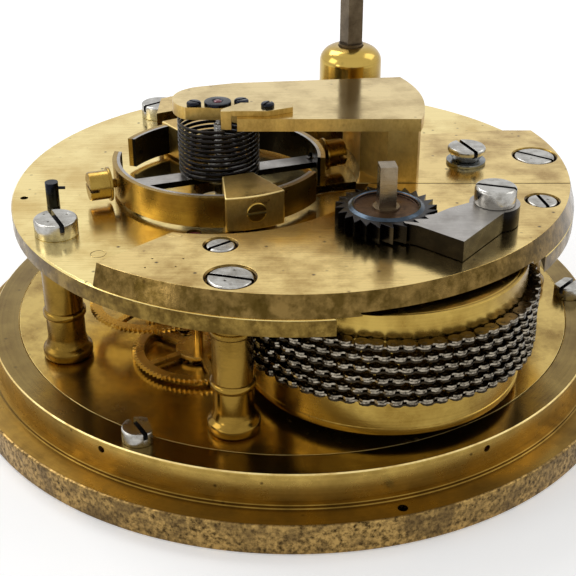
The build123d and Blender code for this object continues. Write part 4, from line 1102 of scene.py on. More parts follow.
@dataclass
class WindingBoss:
    """Domed boss on the fusee bar."""

    shop: Shop
    bore: float = 1.8
    foot: float = 4.87
    waist: float = 4.37
    dome_middle: float = 1.9
    dome_height: float = 2.2
    mouth: float = 2.2

    def build(self) -> None:
        """Turns the boss with its foot, waist and dome."""
        base, high = low("winding_boss"), top("winding_boss")
        swell, rise = self.waist - self.dome_middle, self.dome_height
        dome = [(self.dome_middle + swell * math.cos(math.radians(a)),
                 high - rise + rise * math.sin(math.radians(a))) for a in range(0, 76, 9)]
        profile = [
            (self.bore, base), (self.foot - 0.07, base), (self.foot, base + 0.07), (self.foot, base + 0.5),
            (self.foot - 0.09, base + 0.6), (self.waist + 0.13, base + 0.72), (self.waist, base + 0.95),
            *dome, (self.mouth + 0.15, high - 0.04), (self.mouth, high), (self.bore, high),
        ]
        boss = Bench.soften(Bench.lathe("boss", profile, FUSEE, 128, True), 0.0, angle=40.0)
        self.shop.fit(boss, "movement", BRASS_BRIGHT, "turned_brass", ("winding_boss",), FUSEE)


@dataclass(frozen=True)
class Screw:
    """A turned screw with a slot across its head. The seat is the underside of the head.

    A flat, where there is one, is filed on the side of the head that faces its angle. Punch marks
    are places on the head, from its middle.
    """

    head: float
    height: float
    seat: float
    at: Point
    slot: float
    width: float = 0.5
    shank: float = 1.0
    foot: float = 20.0
    punched: tuple[Point, ...] = ()
    flat: Optional[float] = None
    flat_reach: float = 1.15
    deepest: float = 0.9
    edge: float = 0.25
    underside_edge: float = 0.06
    punch: float = 0.15
    punch_depth: float = 0.2

    @property
    def high(self) -> float:
        """Top of the head."""
        return self.seat + self.height

    @property
    def depth(self) -> float:
        """Depth of the slot."""
        return min(self.deepest, self.height * 0.45)

    def in_slot(self, face: Face) -> bool:
        """Tells the faces inside the slot from the others.

        Args:
            face: A face of the finished screw.

        Returns:
            True inside the slot.
        """
        from_axis = face.center.to_2d() / MM - Vector(self.at)
        turn = math.radians(self.slot)
        across = abs(from_axis.dot(Vector((-math.sin(turn), math.cos(turn)))))
        deep_enough = face.center.z / MM > self.high - self.depth - 0.1
        return deep_enough and across < self.width / 2 + 0.01 and from_axis.length < self.head

    def build(self) -> Piece:
        """Turns, slots and punches the screw.

        Returns:
            The screw in its place.
        """
        above = self.high + Bench.past
        profile = [
            (self.shank, self.foot), (self.shank, self.seat), (self.head - self.underside_edge, self.seat),
            (self.head, self.seat + self.underside_edge),
            *rounded(self.head, self.high, min(self.edge, self.height / 3)),
        ]
        screw = Bench.lathe("screw", profile, self.at, 72)
        across = 2 * self.head + 1
        cutters = [Bench.bar((across, self.width), self.high - self.depth, above, self.at, self.slot)]
        marks = [(self.at[0] + x, self.at[1] + y) for x, y in self.punched]
        cutters += [Bench.rod(self.punch, self.high - self.punch_depth, above, mark, 16) for mark in marks]
        if self.flat is not None:
            cutters.append(Bench.bar((2.0, across), self.seat, above,
                                     spot(self.at, self.flat, self.flat_reach + 1.0), self.flat))
        return Bench.soften(Bench.combine(screw, cutters), 0.035)


@dataclass
class Fasteners:
    """All screws of the plates, by their CAD node."""

    shop: Shop
    flush_height: float = 1.3
    pillar_height: float = 2.06
    dog_circle: float = 38.70
    small_front: Point = (-8.34, -24.17)
    small_right: Point = (31.0, -11.75)
    collar: Point = (23.1, 0.7)

    def build(self) -> None:
        """Makes each group and fits it for its node."""
        self.bridge_screws()
        self.pillar_screws()
        self.dog_screws()
        self.dressed_screws()

    def bridge_screws(self) -> None:
        """Four screws that lie flush with the bridges, two large and two small."""
        flush = self.flush_height
        seat = top("barrel_bar") - flush
        foot = seat - 4
        self.group("bridge_screws", [
            Screw(2.6, flush, seat, PILLARS[0], slot=164.5, shank=1.2, foot=foot,
                  punched=((0.39, 1.6), (-0.52, -0.89))),
            Screw(2.66, flush, seat, PILLARS[1], slot=144.5, shank=1.2, foot=foot, punched=((-0.6, -0.9),)),
            Screw(1.68, flush, seat, self.small_front, slot=39.0, width=0.45, shank=0.8, foot=foot),
            Screw(1.85, flush, seat, self.small_right, slot=101.0, width=0.45, shank=0.8, foot=foot,
                  punched=((0.7, 0.3),)),
        ])

    def pillar_screws(self) -> None:
        """Two screws that stand on the back plate over the other pillars, one with three dots."""
        seat, height = top("back_plate"), self.pillar_height
        dots = ((-1.55, 0.97), (1.26, 0.97), (-0.68, -1.16))
        self.group("pillar_screws", [
            Screw(2.67, height, seat, at, slot=slot, width=0.55, shank=1.2, foot=seat - 3, punched=punched)
            for at, slot, punched in ((PILLARS[2], 116.7, dots), (PILLARS[3], 40.0, ()))])

    def dog_screws(self) -> None:
        """Three screws whose heads lap the pillar plate, each with a flat that lets the plate out."""
        seat = top("mounting_ring")
        self.group("dog_screws", [
            Screw(1.98, 1.75, seat, spot(CENTRE, angle, self.dog_circle), slot=angle + slot, width=0.55,
                  shank=0.9, foot=seat - 3, flat=angle + 137, flat_reach=1.35)
            for angle, slot in ((-117.3, 58.0), (0.3, 49.0), (121.0, 49.0))])

    def dressed_screws(self) -> None:
        """Screws that keep the shape of their CAD nodes, the collar's washer and the stop pin."""
        for node, at, slot, width, edge in (("collar_screw", self.collar, 112.0, 0.55, 0.06),
                                            ("click_screw", CLICK, 163.0, 0.6, 0.1)):
            piece = self.shop.dress(node, "movement", STEEL, "polished_steel", edge, at)
            self.darken_slots(piece, [Screw(2.5, 2.0, top(node) - 2.0, at, slot, width)])
        for node, finish, slot, edge in (
            ("plate_screws", STEEL, "polished_steel", 0.04),
            ("collar_washer", STEEL_FADED, "blued_steel", 0.05),
            ("stop_pin", STEEL_BLUE, "blued_steel", 0.06),
            ("blued_screws", STEEL_BLUE, "blued_steel", 0.05),
        ):
            self.shop.dress(node, "movement", finish, slot, edge)

    def group(self, node: str, screws: Sequence[Screw]) -> None:
        """Builds the polished screws of one node and joins them.

        Args:
            node: The CAD node that they stand for.
            screws: The screws.
        """
        made = Bench.join(f"{node}_turned", [screw.build() for screw in screws])
        self.shop.fit(made, "movement", STEEL, "polished_steel", (node,))
        self.darken_slots(made, screws)

    def darken_slots(self, piece: Piece, screws: Sequence[Screw]) -> None:
        """Paints shade inside each slot: black."""
        self.shop.second_finish(piece, STEEL_SHADE_BLACK,
                                lambda face: any(screw.in_slot(face) for screw in screws))


@dataclass
class Cock:
    """Balance cock with its end-stone cap and stud clamp."""

    shop: Shop
    thickness: float = 1.65
    nose_radius: float = 6.3
    layer: float = 0.5
    skin: float = 0.05
    cap_radius: float = 1.75
    cap_height: float = 0.42
    cap_bore: float = 0.55

    def build(self) -> None:
        """Finishes the cock and what is screwed on it."""
        cock = Bench.combine(Bench.from_node("balance_cock"), [self.nose()], Work.ADD)
        Bench.soften(cock, 0.09)
        self.shop.fit(cock, "movement", BRASS_COCK, "lacquered_brass", ("balance_cock",))
        # Painted shade: the cock's upright sides are deeper mustard than its top.
        self.shop.finish_sides(cock, BRASS_SATIN_SIDE_SHADE)
        clamp = self.shop.dress("stud_clamp", "movement", BRASS_COCK, "lacquered_brass", 0.07)
        # Painted shade on the clamp's upright sides.
        self.shop.finish_sides(clamp, BRASS_SATIN_SIDE_SHADE)
        cap = Bench.soften(Bench.lathe("cap", self.cap_profile(), BALANCE, 96, True), 0.0)
        self.shop.fit(cap, "movement", STEEL_BLUE, "blued_steel", ("endstone_cap",), BALANCE)
        self.shop.dress("jewels", "movement", RUBY, "ruby", 0.03)

    def nose(self) -> Piece:
        """Top layer of the nose, stretched down to the arm's underside, so that its edge is a full band.

        Returns:
            The layer, which keeps the outline and the holes of the cock.
        """
        high = top("balance_cock")
        below = self.layer + self.skin
        round_nose = Bench.rod(self.nose_radius, high - below, high - self.skin, BALANCE, 96)
        layer = Bench.combine(Bench.from_node("balance_cock"), [round_nose], Work.KEEP)
        stretch = (self.thickness - self.layer) / self.layer
        layer.matrix_world = Matrix.Translation(metres(CENTRE, high - self.thickness)) @ \
            Matrix.Diagonal((1.0, 1.0, stretch, 1.0)) @ Matrix.Translation(metres(CENTRE, below - high))
        return Bench.settle(layer)

    def cap_profile(self) -> Profile:
        """Section of the end-stone cap, with a rounded edge and a hollow round the jewel.

        Returns:
            Points of radius and height.
        """
        base = low("endstone_cap")
        high = base + self.cap_height
        return [(self.cap_bore, base), (self.cap_radius - 0.05, base), (self.cap_radius, base + 0.05)] + \
            rounded(self.cap_radius, high, 0.12) + \
            [(0.8, high), (0.62, high - 0.12), (self.cap_bore, high - 0.16)]


@dataclass
class Balance:
    """Cut bimetallic rim with its arm, weights, timing nuts and staff."""

    shop: Shop
    arm_angle: float = 20.0
    rim_inner: float = 12.90
    rim_outer: float = 13.90
    rim_gap: float = 0.03
    weight_angle: float = -69.2
    weight_span: float = 30.4
    weight_inner: float = 7.50
    weight_outer: float = 14.7
    weight_edge: float = 0.17
    screw_seat: float = 14.34
    nut_start: float = 14.6
    nut_length: float = 2.9
    nut_radius: float = 1.85
    nut_flange: float = 2.2
    nut_flange_length: float = 0.35
    nut_stud: float = 0.58
    nut_slot: float = 0.42
    nut_slot_depth: float = 1.1

    def build(self) -> None:
        """Finishes the pieces of the balance."""
        for node, finish, slot, edge in (
            ("balance_rim", BRASS_TURNED, "turned_brass", 0.05),
            ("balance_staff", STEEL, "polished_steel", 0.03),
            ("rollers", STEEL_GREY, "grey_steel", 0.04),
        ):
            self.shop.dress(node, "balance", finish, slot, edge, BALANCE)
        arm = self.shop.dress("balance_arm", "balance", STEEL_GREY, "grey_steel", 0.04, BALANCE)
        # Painted shade: the arm's sides are black.
        self.shop.finish_sides(arm, STEEL_SHADE_BLACK, 0.5)
        self.weights()
        self.nuts()
        self.weight_screws()

    def weights(self) -> None:
        """Cuts a sector block round the rim, breaks its edges broadly and lays one on each half."""
        weight = Bench.sheet("weight", self.sector(), low("balance_weights"), top("balance_weights"))
        Bench.soften(weight, self.weight_edge)
        gap = self.rim_gap
        channel = Bench.washer("channel", self.rim_inner - gap, self.rim_outer + gap,
                               low("balance_rim") - gap, top("balance_rim") + gap, CENTRE, 192)
        Bench.soften(Bench.combine(weight, [channel]), 0.0)
        laid = Bench.repeat("weights_cut", weight,
                            [Place(BALANCE, 0.0, self.weight_angle + turn).matrix() for turn in HALVES])
        self.shop.fit(laid, "balance", BRASS_SATIN_SIDE_SHADE, "turned_brass", ("balance_weights",), BALANCE)
        # Painted highlight on the weights' upper corners.
        self.shop.rub_corners(laid)

    def sector(self) -> list[Point]:
        """Outline of a weight: straight towards the staff and round outside, spanning X.

        Returns:
            Points in plan, with the staff at the origin.
        """
        half = math.radians(self.weight_span / 2)
        side = self.weight_inner * math.tan(half)
        outside = [spot(CENTRE, self.weight_span / 2 * i / 12, self.weight_outer) for i in range(-12, 13)]
        return [(self.weight_inner, -side)] + outside + [(self.weight_inner, side)]

    def nuts(self) -> None:
        """Turns a nut on its stud, slots its outer face and lays one at each end of the arm."""
        start, end = self.nut_start, self.nut_start + self.nut_length
        shoulder = start + self.nut_flange_length
        nut = Bench.lathe("nut", [
            (self.nut_stud, start - 0.8), (self.nut_stud, start), (self.nut_flange - 0.05, start),
            (self.nut_flange, start + 0.05), (self.nut_flange, shoulder - 0.05),
            (self.nut_flange - 0.05, shoulder), (self.nut_radius, shoulder), (self.nut_radius, end - 0.2),
            (self.nut_radius - 0.06, end - 0.06), (self.nut_radius - 0.2, end)], CENTRE, 72)
        across = 6.0
        slot = Bench.bar((self.nut_slot, across), end - self.nut_slot_depth, end + Bench.past, CENTRE)
        Bench.soften(Bench.combine(nut, [slot]), 0.04)
        laid = Bench.repeat("nuts_turned", nut, self.round_the_rim("timing_nuts", self.arm_angle))
        self.shop.fit(laid, "balance", BRASS_TURNED, "turned_brass", ("timing_nuts",), BALANCE)

    def weight_screws(self) -> None:
        """Turns a weight's screw, with its slot level, and lays one at each weight."""
        seat = self.screw_seat
        screw = Screw(1.28, 0.5, seat, CENTRE, slot=90.0, width=0.26, shank=0.58, foot=seat - 2.4)
        pattern = screw.build()
        slotted = {face.index for face in pattern.data.polygons if screw.in_slot(face)}
        count = len(pattern.data.polygons)
        laid = Bench.repeat("weight_screws_turned", pattern,
                            self.round_the_rim("weight_screws", self.weight_angle))
        self.shop.fit(laid, "balance", BRASS_BRIGHT, "turned_brass", ("weight_screws",), BALANCE)
        # Painted shade inside the slots.
        self.shop.second_finish(laid, STEEL_SHADE_BLACK, lambda face: face.index % count in slotted)

    @staticmethod
    def round_the_rim(node: str, angle: float) -> list[Matrix]:
        """Places of two pieces that lie at a node's height and point away from the staff."""
        return [Place(BALANCE, middle(node), angle + turn).lying() for turn in HALVES]


@dataclass
class Hairspring:
    """Helical hairspring: a flat ribbon screwed up about the staff."""

    shop: Shop
    radius: float = 5.16
    turns: float = 11.0
    rise: float = 7.08
    start_angle: float = -78.0
    start_height: float = 27.9
    thickness: float = 0.26
    width: float = 0.42
    steps_a_turn: int = 56

    def build(self) -> None:
        """Draws the ribbon's section, screws it up and closes its ends."""
        Bench.clear()
        bpy.ops.mesh.primitive_plane_add(size=MM, location=metres((self.radius, 0.0), self.start_height),
                                         rotation=(math.radians(90), 0.0, 0.0))
        spring = bpy.context.object
        spring.name = "hairspring_coil"
        spring.scale = (self.thickness, self.width, 1.0)
        Bench.settle(spring)
        with Bench.editing():
            bpy.ops.mesh.delete(type="ONLY_FACE")
        coil = spring.modifiers.new("coil", "SCREW")
        coil.angle = math.radians(360 * self.turns)
        coil.screw_offset = self.rise * MM
        coil.steps = coil.render_steps = round(self.steps_a_turn * self.turns)
        coil.use_smooth_shade = False
        Bench.apply(spring, coil.name)
        with Bench.editing():
            bpy.ops.mesh.fill_holes(sides=4)
            Bench.face_outwards()
        spring.matrix_world = Place(BALANCE, 0.0, self.start_angle).matrix()
        Bench.soften(Bench.settle(spring), 0.05, 1, 50.0)
        self.shop.fit(spring, "balance", SPRING_STEEL, "blued_steel", ("hairspring",), BALANCE)


@dataclass
class Barrel:
    """Mainspring barrel with its cap, arbor, ratchet wheel and click."""

    shop: Shop
    radius: float = 17.2
    bore: float = 1.63
    floor: float = 1.0
    wall: float = 0.9
    cap_seat: float = 0.4
    cap_depth: float = 0.9
    line: float = 0.09
    slate_ring: tuple[float, float] = (3.3, 4.7)
    rusted_recess: tuple[float, float] = (0.0, 3.95)

    def build(self) -> None:
        """Builds the drum and finishes the set-up work on the bridge."""
        drum = Bench.soften(Bench.lathe("barrel_turned", self.profile(), BARREL, 200, True), 0.0)
        self.shop.fit(drum, "barrel", BRASS_BRIGHT, "turned_brass", ("barrel",), BARREL)
        self.shop.dress("barrel_cap", "barrel", BRASS_BRIGHT, "turned_brass", 0.04, BARREL)
        self.shop.dress("mainspring", "barrel", STEEL_GREY, "grey_steel", 0.0, BARREL)
        self.shop.dress("barrel_arbor", "movement", STEEL_WIPED, "brown_steel", 0.1, BARREL)
        ratchet = self.shop.dress("ratchet_wheel", "movement", STEEL_OILED, "black_steel", 0.06, BARREL)
        for finish, ring in ((STEEL_SLATE, self.slate_ring), (STEEL_RUSTED, self.rusted_recess)):
            self.shop.second_finish(ratchet, finish, lambda face: self.in_ring(ratchet, face, ring))
        click = self.shop.dress("click", "click", STEEL_GREY, "grey_steel", 0.12, CLICK)
        # Painted shade: the click's sides and underside are black.
        self.shop.second_finish(click, STEEL_SHADE_BLACK, lambda face: face.normal.z < 0.5)

    def profile(self) -> Profile:
        """Section of the drum: floor, wall with a turned line low down, and the seat of the cap.

        Returns:
            Points of radius and height.
        """
        base, high, wall = low("barrel"), top("barrel"), self.radius
        inside = wall - self.wall
        seat = inside + self.cap_seat
        return [
            (self.bore, base), (wall - 0.32, base), (wall - 0.09, base + 0.09), (wall, base + 0.32),
            (wall, base + 0.95), (wall - self.line, base + 1.02), (wall - self.line, base + 1.14),
            (wall, base + 1.21), (wall, high - 0.2), (wall - 0.06, high - 0.06), (wall - 0.2, high),
            (seat, high), (seat, high - self.cap_depth), (inside, high - self.cap_depth),
            (inside, base + self.floor), (self.bore, base + self.floor),
        ]

    @staticmethod
    def in_ring(piece: Piece, face: Face, ring: tuple[float, float]) -> bool:
        """Tells the faces that look up and lie in a ring round the barrel's axis from the others.

        Args:
            piece: The piece, such as the ratchet wheel.
            face: One of its faces.
            ring: Inner and outer radius of the ring.

        Returns:
            True where all corners of the face lie in the ring.
        """
        corners = [piece.data.vertices[i].co.to_2d() for i in face.vertices]
        reaches = [(corner - Vector(BARREL) * MM).length / MM for corner in corners]
        return face.normal.z > 0.2 and ring[0] <= min(reaches) and max(reaches) <= ring[1]


@dataclass
class Chain:
    """Fusee chain of riveted links, wound on the barrel, in its straight run, and on the fusee.

    The rivets stand upright. A unit is one inner plate, two outer plates and two rivets, and spans
    two pitches.
    """

    shop: Shop
    pitch: float = 1.73
    plate: float = 0.23
    plate_offset: float = 0.28
    rivet: float = 0.26
    rivet_length: float = 0.88
    reach: float = 18.04
    first_height: float = 15.1
    rise: float = 1.42
    side: float = 10.2
    barrel_turns: float = 5.5
    barrel_drop: float = 0.5
    fusee_turns: float = 2.0
    fusee_mean_reach: float = 14.6
    cone_large: float = 15.4
    cone_taper: float = 7.8 / 11.36
    cone_base: float = 12.26
    above_cone: float = 0.82

    def build(self) -> None:
        """Makes one unit for each of the three parts of the chain and lays it along the part."""
        for name, body, node, axis, route in (
            ("chain_wound", "barrel", "chain_on_barrel", BARREL, self.on_barrel),
            ("chain_taken_up", "fusee", "chain_on_fusee", FUSEE, self.on_fusee),
            ("chain_straight", "fusee", "chain_run", FUSEE, self.straight),
        ):
            pattern = self.unit()
            count = len(pattern.data.polygons)
            shaded = {face.index for face in pattern.data.polygons if face.center.z < -0.1 * MM}
            laid = Bench.repeat(name, pattern, self.lay(route))
            self.shop.fit(laid, body, CHAIN_STEEL, "chain_steel", (node,), axis)
            # Painted highlight on the upright edges, then painted shade on those of the lower plates.
            self.shop.finish_sides(laid, CHAIN_HIGHLIGHT, 0.5)
            self.shop.second_finish(
                laid, CHAIN_DARK, lambda face: abs(face.normal.z) < 0.5 and face.index % count in shaded)

    def unit(self) -> Piece:
        """One unit of the chain, centred on its inner plate and pointing along X.

        Returns:
            The unit at the origin.
        """
        half, thick = self.pitch / 2, self.plate / 2
        quarter = [(0.12, 0.47), (0.5, 0.73), (1.12, 0.73), (1.5, 0.45)]
        side = quarter + [(1.62, 0.0)] + [(x, -y) for x, y in reversed(quarter)]
        outline = side + [(-x, -y) for x, y in side]
        inner = Bench.sheet("inner_plate", outline, -thick, thick)
        shifted = [(x + self.pitch, y) for x, y in outline]
        outer = [Bench.sheet("outer_plate", shifted, z - thick, z + thick)
                 for z in (-self.plate_offset, self.plate_offset)]
        rivets = [Bench.rod(self.rivet, -self.rivet_length / 2, self.rivet_length / 2, (x, 0.0), 8)
                  for x in (half, half + self.pitch)]
        return Bench.join("link_unit", [inner] + outer + rivets)

    def lay(self, route: Callable[[float], Optional[Vector]]) -> list[Matrix]:
        """Places for the units along a route.

        Args:
            route: Point on the chain's middle line at a distance in millimetres, or None past its end.

        Returns:
            One matrix for each unit.
        """
        places = []
        distance = self.pitch / 2
        while route(distance + 1.8 * self.pitch) is not None:
            start, end = route(distance - self.pitch / 2), route(distance + self.pitch * 1.5)
            along = (end - start).normalized()
            across = Vector((0.0, 0.0, 1.0)).cross(along).normalized()
            turn = Matrix((along, across, along.cross(across))).transposed().to_4x4()
            places.append(Matrix.Translation(route(distance) * MM) @ turn)
            distance += 2 * self.pitch
        return places

    def on_barrel(self, distance: float) -> Optional[Vector]:
        """Point on the barrel's helix, which climbs away from the straight run.

        Args:
            distance: Distance along the chain, in millimetres.

        Returns:
            The point, or None past the chain's end.
        """
        turns = distance / math.hypot(math.tau * self.reach, self.rise)
        if distance < 0 or turns > self.barrel_turns:
            return None
        height = self.first_height - self.barrel_drop + self.rise * turns
        return Vector((*spot(BARREL, self.side - 360 * turns, self.reach), height))

    def on_fusee(self, distance: float) -> Optional[Vector]:
        """Point on the fusee's helix, which follows the cone down.

        Args:
            distance: Distance along the chain, in millimetres.

        Returns:
            The point, or None past the chain's end.
        """
        turns = distance / (math.tau * self.fusee_mean_reach)
        if distance < 0 or turns > self.fusee_turns:
            return None
        height = self.first_height - self.rise * turns
        return Vector((*spot(FUSEE, self.side + 360 * turns, self.cone_reach(height)), height))

    def cone_reach(self, height: float) -> float:
        """Radius of the chain's middle line round the fusee's cone at a height."""
        return self.cone_large - self.cone_taper * (height - self.cone_base) + self.above_cone

    def straight(self, distance: float) -> Optional[Vector]:
        """Point on the straight run from the barrel to the fusee.

        Args:
            distance: Distance along the chain, in millimetres.

        Returns:
            The point, or None past the run's end.
        """
        start = Vector((*spot(BARREL, self.side, self.reach), self.first_height - self.barrel_drop))
        end = Vector((*spot(FUSEE, self.side, self.cone_reach(self.first_height)), self.first_height))
        if distance < 0 or distance > (end - start).length + self.pitch:
            return None
        return start + (end - start).normalized() * distance


@dataclass
class Dial:
    """Silvered dial with its numbers and tracks filled with black wax, on the underside."""

    shop: Shop
    number_reach: float = 25.5
    number_size: float = 5.2
    track_reach: float = 30.6
    strokes: tuple[float, float] = (1.2, 2.2)
    small_reach: float = 7.6
    small_strokes: tuple[float, float] = (0.6, 1.1)
    line: float = 0.12
    proud: float = 0.015

    def build(self) -> None:
        """Finishes the dial and fills its figures."""
        self.shop.dress("dial", "movement", SILVERED, "silvered", 0.05)
        face = low("dial") - self.proud
        pieces = [self.number(hour, face) for hour in range(1, 13)]
        pieces += [self.track(CENTRE, self.track_reach, 60, 5, self.strokes, face),
                   self.track(FOURTH, self.small_reach, 60, 5, self.small_strokes, face),
                   self.track(UP_DOWN, self.small_reach, 32, 4, self.small_strokes, face)]
        self.shop.fit(Bench.join("dial_figures", pieces), "movement", WAX)

    def number(self, hour: int, face: float) -> Piece:
        """One hour number, read from below.

        Args:
            hour: The number.
            face: Height of the wax's outer face.

        Returns:
            The number as a mesh.
        """
        Bench.clear()
        bpy.ops.object.text_add()
        text = bpy.context.object.data
        text.body = str(hour)
        text.size = self.number_size * MM
        text.align_x = "CENTER"
        text.align_y = "CENTER"
        text.extrude = self.proud * MM
        bpy.ops.object.convert(target="MESH")
        number = bpy.context.object
        number.location = metres(spot(CENTRE, 90 + 30 * hour, self.number_reach), face + self.proud)
        number.rotation_euler = (0.0, math.pi, 0.0)
        return Bench.outward(Bench.settle(number))

    def track(self, at: Point, reach: float, steps: int, bold_every: int, lengths: tuple[float, float],
              face: float) -> Piece:
        """Two fine circles with a stroke at each step, and longer strokes between.

        Args:
            at: Centre in plan.
            reach: Radius of the outer circle.
            steps: Number of strokes.
            bold_every: Every so many strokes is a long one.
            lengths: Length of a short and of a long stroke.
            face: Height of the wax's outer face.

        Returns:
            The track.
        """
        high = face + 2 * self.proud
        circles = [Bench.washer("circle", r - self.line / 2, r + self.line / 2, face, high, at, 120)
                   for r in (reach, reach - lengths[0])]
        turns = [360 * i / steps for i in range(steps)]
        strokes = []
        for length, width, angles in ((lengths[0], self.line, turns),
                                      (lengths[1], 2 * self.line, turns[::bold_every])):
            stroke = Bench.bar((length, width), face, high, (reach - length / 2, 0.0))
            places = [Place(at, 0.0, angle).matrix() for angle in angles]
            strokes.append(Bench.repeat("strokes", stroke, places))
        return Bench.join("track", circles + strokes)


# Pieces that keep the shape of their CAD node: node, body, finish, slot, broken edge, axis.
INNER_WORK = (
    ("detent", "detent", STEEL_GREY, "grey_steel", 0.03, CENTRE),
    ("detent_foot", "movement", BRASS_TURNED, "turned_brass", 0.06, CENTRE),
    ("potence", "movement", BRASS_TURNED, "turned_brass", 0.06, BALANCE),
    ("fusee_cone", "fusee", BRASS_TURNED, "turned_brass", 0.0, FUSEE),
    ("fusee_arbor", "fusee", STEEL_BROWN, "brown_steel", 0.1, FUSEE),
    ("fusee_stop_arm", "stop_arm", STEEL_GREY, "grey_steel", 0.04, CENTRE),
    ("great_wheel", "great", BRASS_WHEEL, "lacquered_brass", 0.03, FUSEE),
    ("maintaining_wheel", "great", STEEL_GREY, "grey_steel", 0.03, FUSEE),
    ("maintaining_click", "maintaining_click", STEEL_GREY, "grey_steel", 0.04, CENTRE),
    ("centre_wheel", "centre", BRASS_WHEEL, "lacquered_brass", 0.03, CENTRE),
    ("third_wheel", "third", BRASS_WHEEL, "lacquered_brass", 0.03, THIRD),
    ("fourth_wheel", "fourth", BRASS_WHEEL, "lacquered_brass", 0.03, FOURTH),
    ("escape_wheel", "escape", BRASS_WHEEL, "turned_brass", 0.02, ESCAPE),
    ("cannon_pinion", "centre", STEEL_GREY, "grey_steel", 0.03, CENTRE),
    ("minute_wheel", "minute_motion", BRASS_WHEEL, "turned_brass", 0.03, CENTRE),
    ("hour_wheel", "hour", BRASS_WHEEL, "turned_brass", 0.03, CENTRE),
    ("up_down_wheel", "up_down", BRASS_WHEEL, "turned_brass", 0.03, UP_DOWN),
    ("minute_hand", "centre", STEEL_BLUE, "blued_steel", 0.03, CENTRE),
    ("hour_hand", "hour", STEEL_BLUE, "blued_steel", 0.03, CENTRE),
    ("seconds_hand", "fourth", STEEL_BLUE, "blued_steel", 0.02, FOURTH),
    ("up_down_hand", "up_down", STEEL_BLUE, "blued_steel", 0.02, UP_DOWN),
)


@dataclass
class Train:
    """Wheels, arbors, detent and hands."""

    shop: Shop

    def build(self) -> None:
        """Gives each piece its finish and broken edges."""
        for node, body, finish, slot, edge, axis in INNER_WORK:
            self.shop.dress(node, body, finish, slot, edge, axis)


@dataclass(frozen=True)
class Lamp:
    """A soft box: its radiance, its side and where it stands and aims, in metres."""

    name: str
    radiance: float
    size: float
    place: tuple[float, float, float]
    aim: tuple[float, float, float] = (0.0, 0.0, 0.02)

    def build(self) -> None:
        """Sets the soft box up."""
        light = bpy.data.lights.new(self.name, "AREA")
        light.shape = "SQUARE"
        light.size = self.size
        light.energy = self.radiance * math.pi * self.size ** 2
        lamp = bpy.data.objects.new(self.name, light)
        bpy.context.scene.collection.objects.link(lamp)
        lamp.location = self.place
        lamp.rotation_euler = (Vector(self.aim) - Vector(self.place)).to_track_quat("-Z", "Y").to_euler()


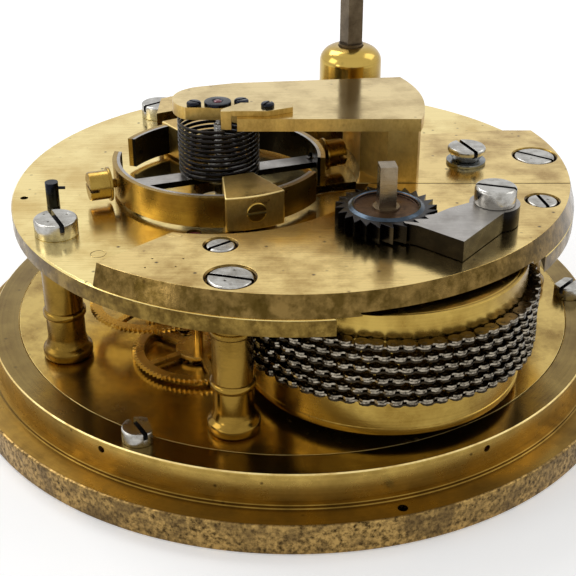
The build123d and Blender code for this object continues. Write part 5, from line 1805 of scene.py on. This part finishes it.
@dataclass
class Studio:
    """Pale floor, white surroundings, soft boxes and the camera at the photograph's view."""

    lens: float = 74.36
    sensor: float = 36.0
    nearest: float = 0.005
    place: tuple[float, float, float] = (-0.585, -146.818, 88.740)
    tilt: float = 61.60
    surroundings: float = 0.42
    floor_size: float = 3.0
    floor_below: float = 0.05
    floor_grey: float = 0.93
    floor_lift: float = 0.3
    lamps: tuple[Lamp, ...] = (
        Lamp("key", radiance=5.2, size=0.32, place=(-0.30, 0.34, 0.56)),
        Lamp("side", radiance=2.6, size=0.30, place=(-0.55, -0.10, 0.30)),
        Lamp("low", radiance=3.4, size=0.14, place=(-0.56, -0.45, 0.10)),
        Lamp("fill", radiance=1.6, size=0.36, place=(0.48, 0.16, 0.46)),
    )

    def build(self) -> None:
        """Sets up world, floor, lamps and camera."""
        self.world()
        self.floor()
        for lamp in self.lamps:
            lamp.build()
        self.camera()

    def world(self) -> None:
        """White to the camera, in metal and through glass, and a softer light for everything else."""
        world = bpy.data.worlds.new("studio")
        bpy.context.scene.world = world
        world.use_nodes = True
        tree = world.node_tree
        tree.nodes.clear()
        node = Painter.node
        strength = node(tree, "ShaderNodeMapRange", {"To Min": self.surroundings, "To Max": 1.0},
                        {"Value": self.seen(tree)})
        light = node(tree, "ShaderNodeBackground", {"Color": (1.0, 1.0, 1.0, 1.0)},
                     {"Strength": strength.outputs["Result"]})
        node(tree, "ShaderNodeOutputWorld", {}, {"Surface": light.outputs["Background"]})

    @staticmethod
    def seen(tree: Tree) -> Socket:
        """Is 1 where the surroundings are seen: by the camera, in metal and through glass.

        Args:
            tree: The world's or the floor's tree.

        Returns:
            The socket with 1 or 0.
        """
        node = Painter.node
        path = node(tree, "ShaderNodeLightPath")
        first = node(tree, "ShaderNodeMath", {"operation": "MAXIMUM"},
                     {0: path.outputs["Is Camera Ray"], 1: path.outputs["Is Glossy Ray"]})
        both = node(tree, "ShaderNodeMath", {"operation": "MAXIMUM"},
                    {0: first.outputs[0], 1: path.outputs["Is Transmission Ray"]})
        return both.outputs[0]

    def floor(self) -> None:
        """Plain pale floor that keeps the object's shadow."""
        Bench.clear()
        bpy.ops.mesh.primitive_plane_add(size=self.floor_size, location=metres(CENTRE, -self.floor_below))
        floor = bpy.context.object
        floor.name = "floor"
        material = bpy.data.materials.new("pale_floor")
        material.use_nodes = True
        tree = material.node_tree
        shader = tree.nodes["Principled BSDF"]
        shader.inputs["Base Color"].default_value = (self.floor_grey, self.floor_grey, self.floor_grey, 1.0)
        shader.inputs["Roughness"].default_value = 0.9
        shader.inputs["Emission Color"].default_value = (1.0, 1.0, 1.0, 1.0)
        lift = Painter.node(tree, "ShaderNodeMath", {"operation": "MULTIPLY", 1: self.floor_lift},
                            {0: self.seen(tree)})
        tree.links.new(lift.outputs[0], shader.inputs["Emission Strength"])
        floor.data.materials.append(material)

    def camera(self) -> None:
        """Camera fitted to the circles of the photograph."""
        lens = bpy.data.cameras.new("camera")
        lens.lens = self.lens
        lens.sensor_width = self.sensor
        lens.clip_start = self.nearest
        camera = bpy.data.objects.new("camera", lens)
        bpy.context.scene.collection.objects.link(camera)
        camera.location = [value * MM for value in self.place]
        camera.rotation_euler = (math.radians(self.tilt), 0.0, 0.0)
        bpy.context.scene.camera = camera


def main() -> None:
    """Builds the scene in order."""
    logging.basicConfig(level=logging.INFO, format="%(message)s")
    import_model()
    shop = Shop()
    for section in (MountingRing, Plates, Pillars, WindingBoss, Fasteners, Cock, Balance, Hairspring,
                    Barrel, Chain, Train, Dial):
        section(shop).build()
    Studio().build()
    bpy.context.scene.view_settings.view_transform = "Standard"


if __name__ == "__main__":
    main()
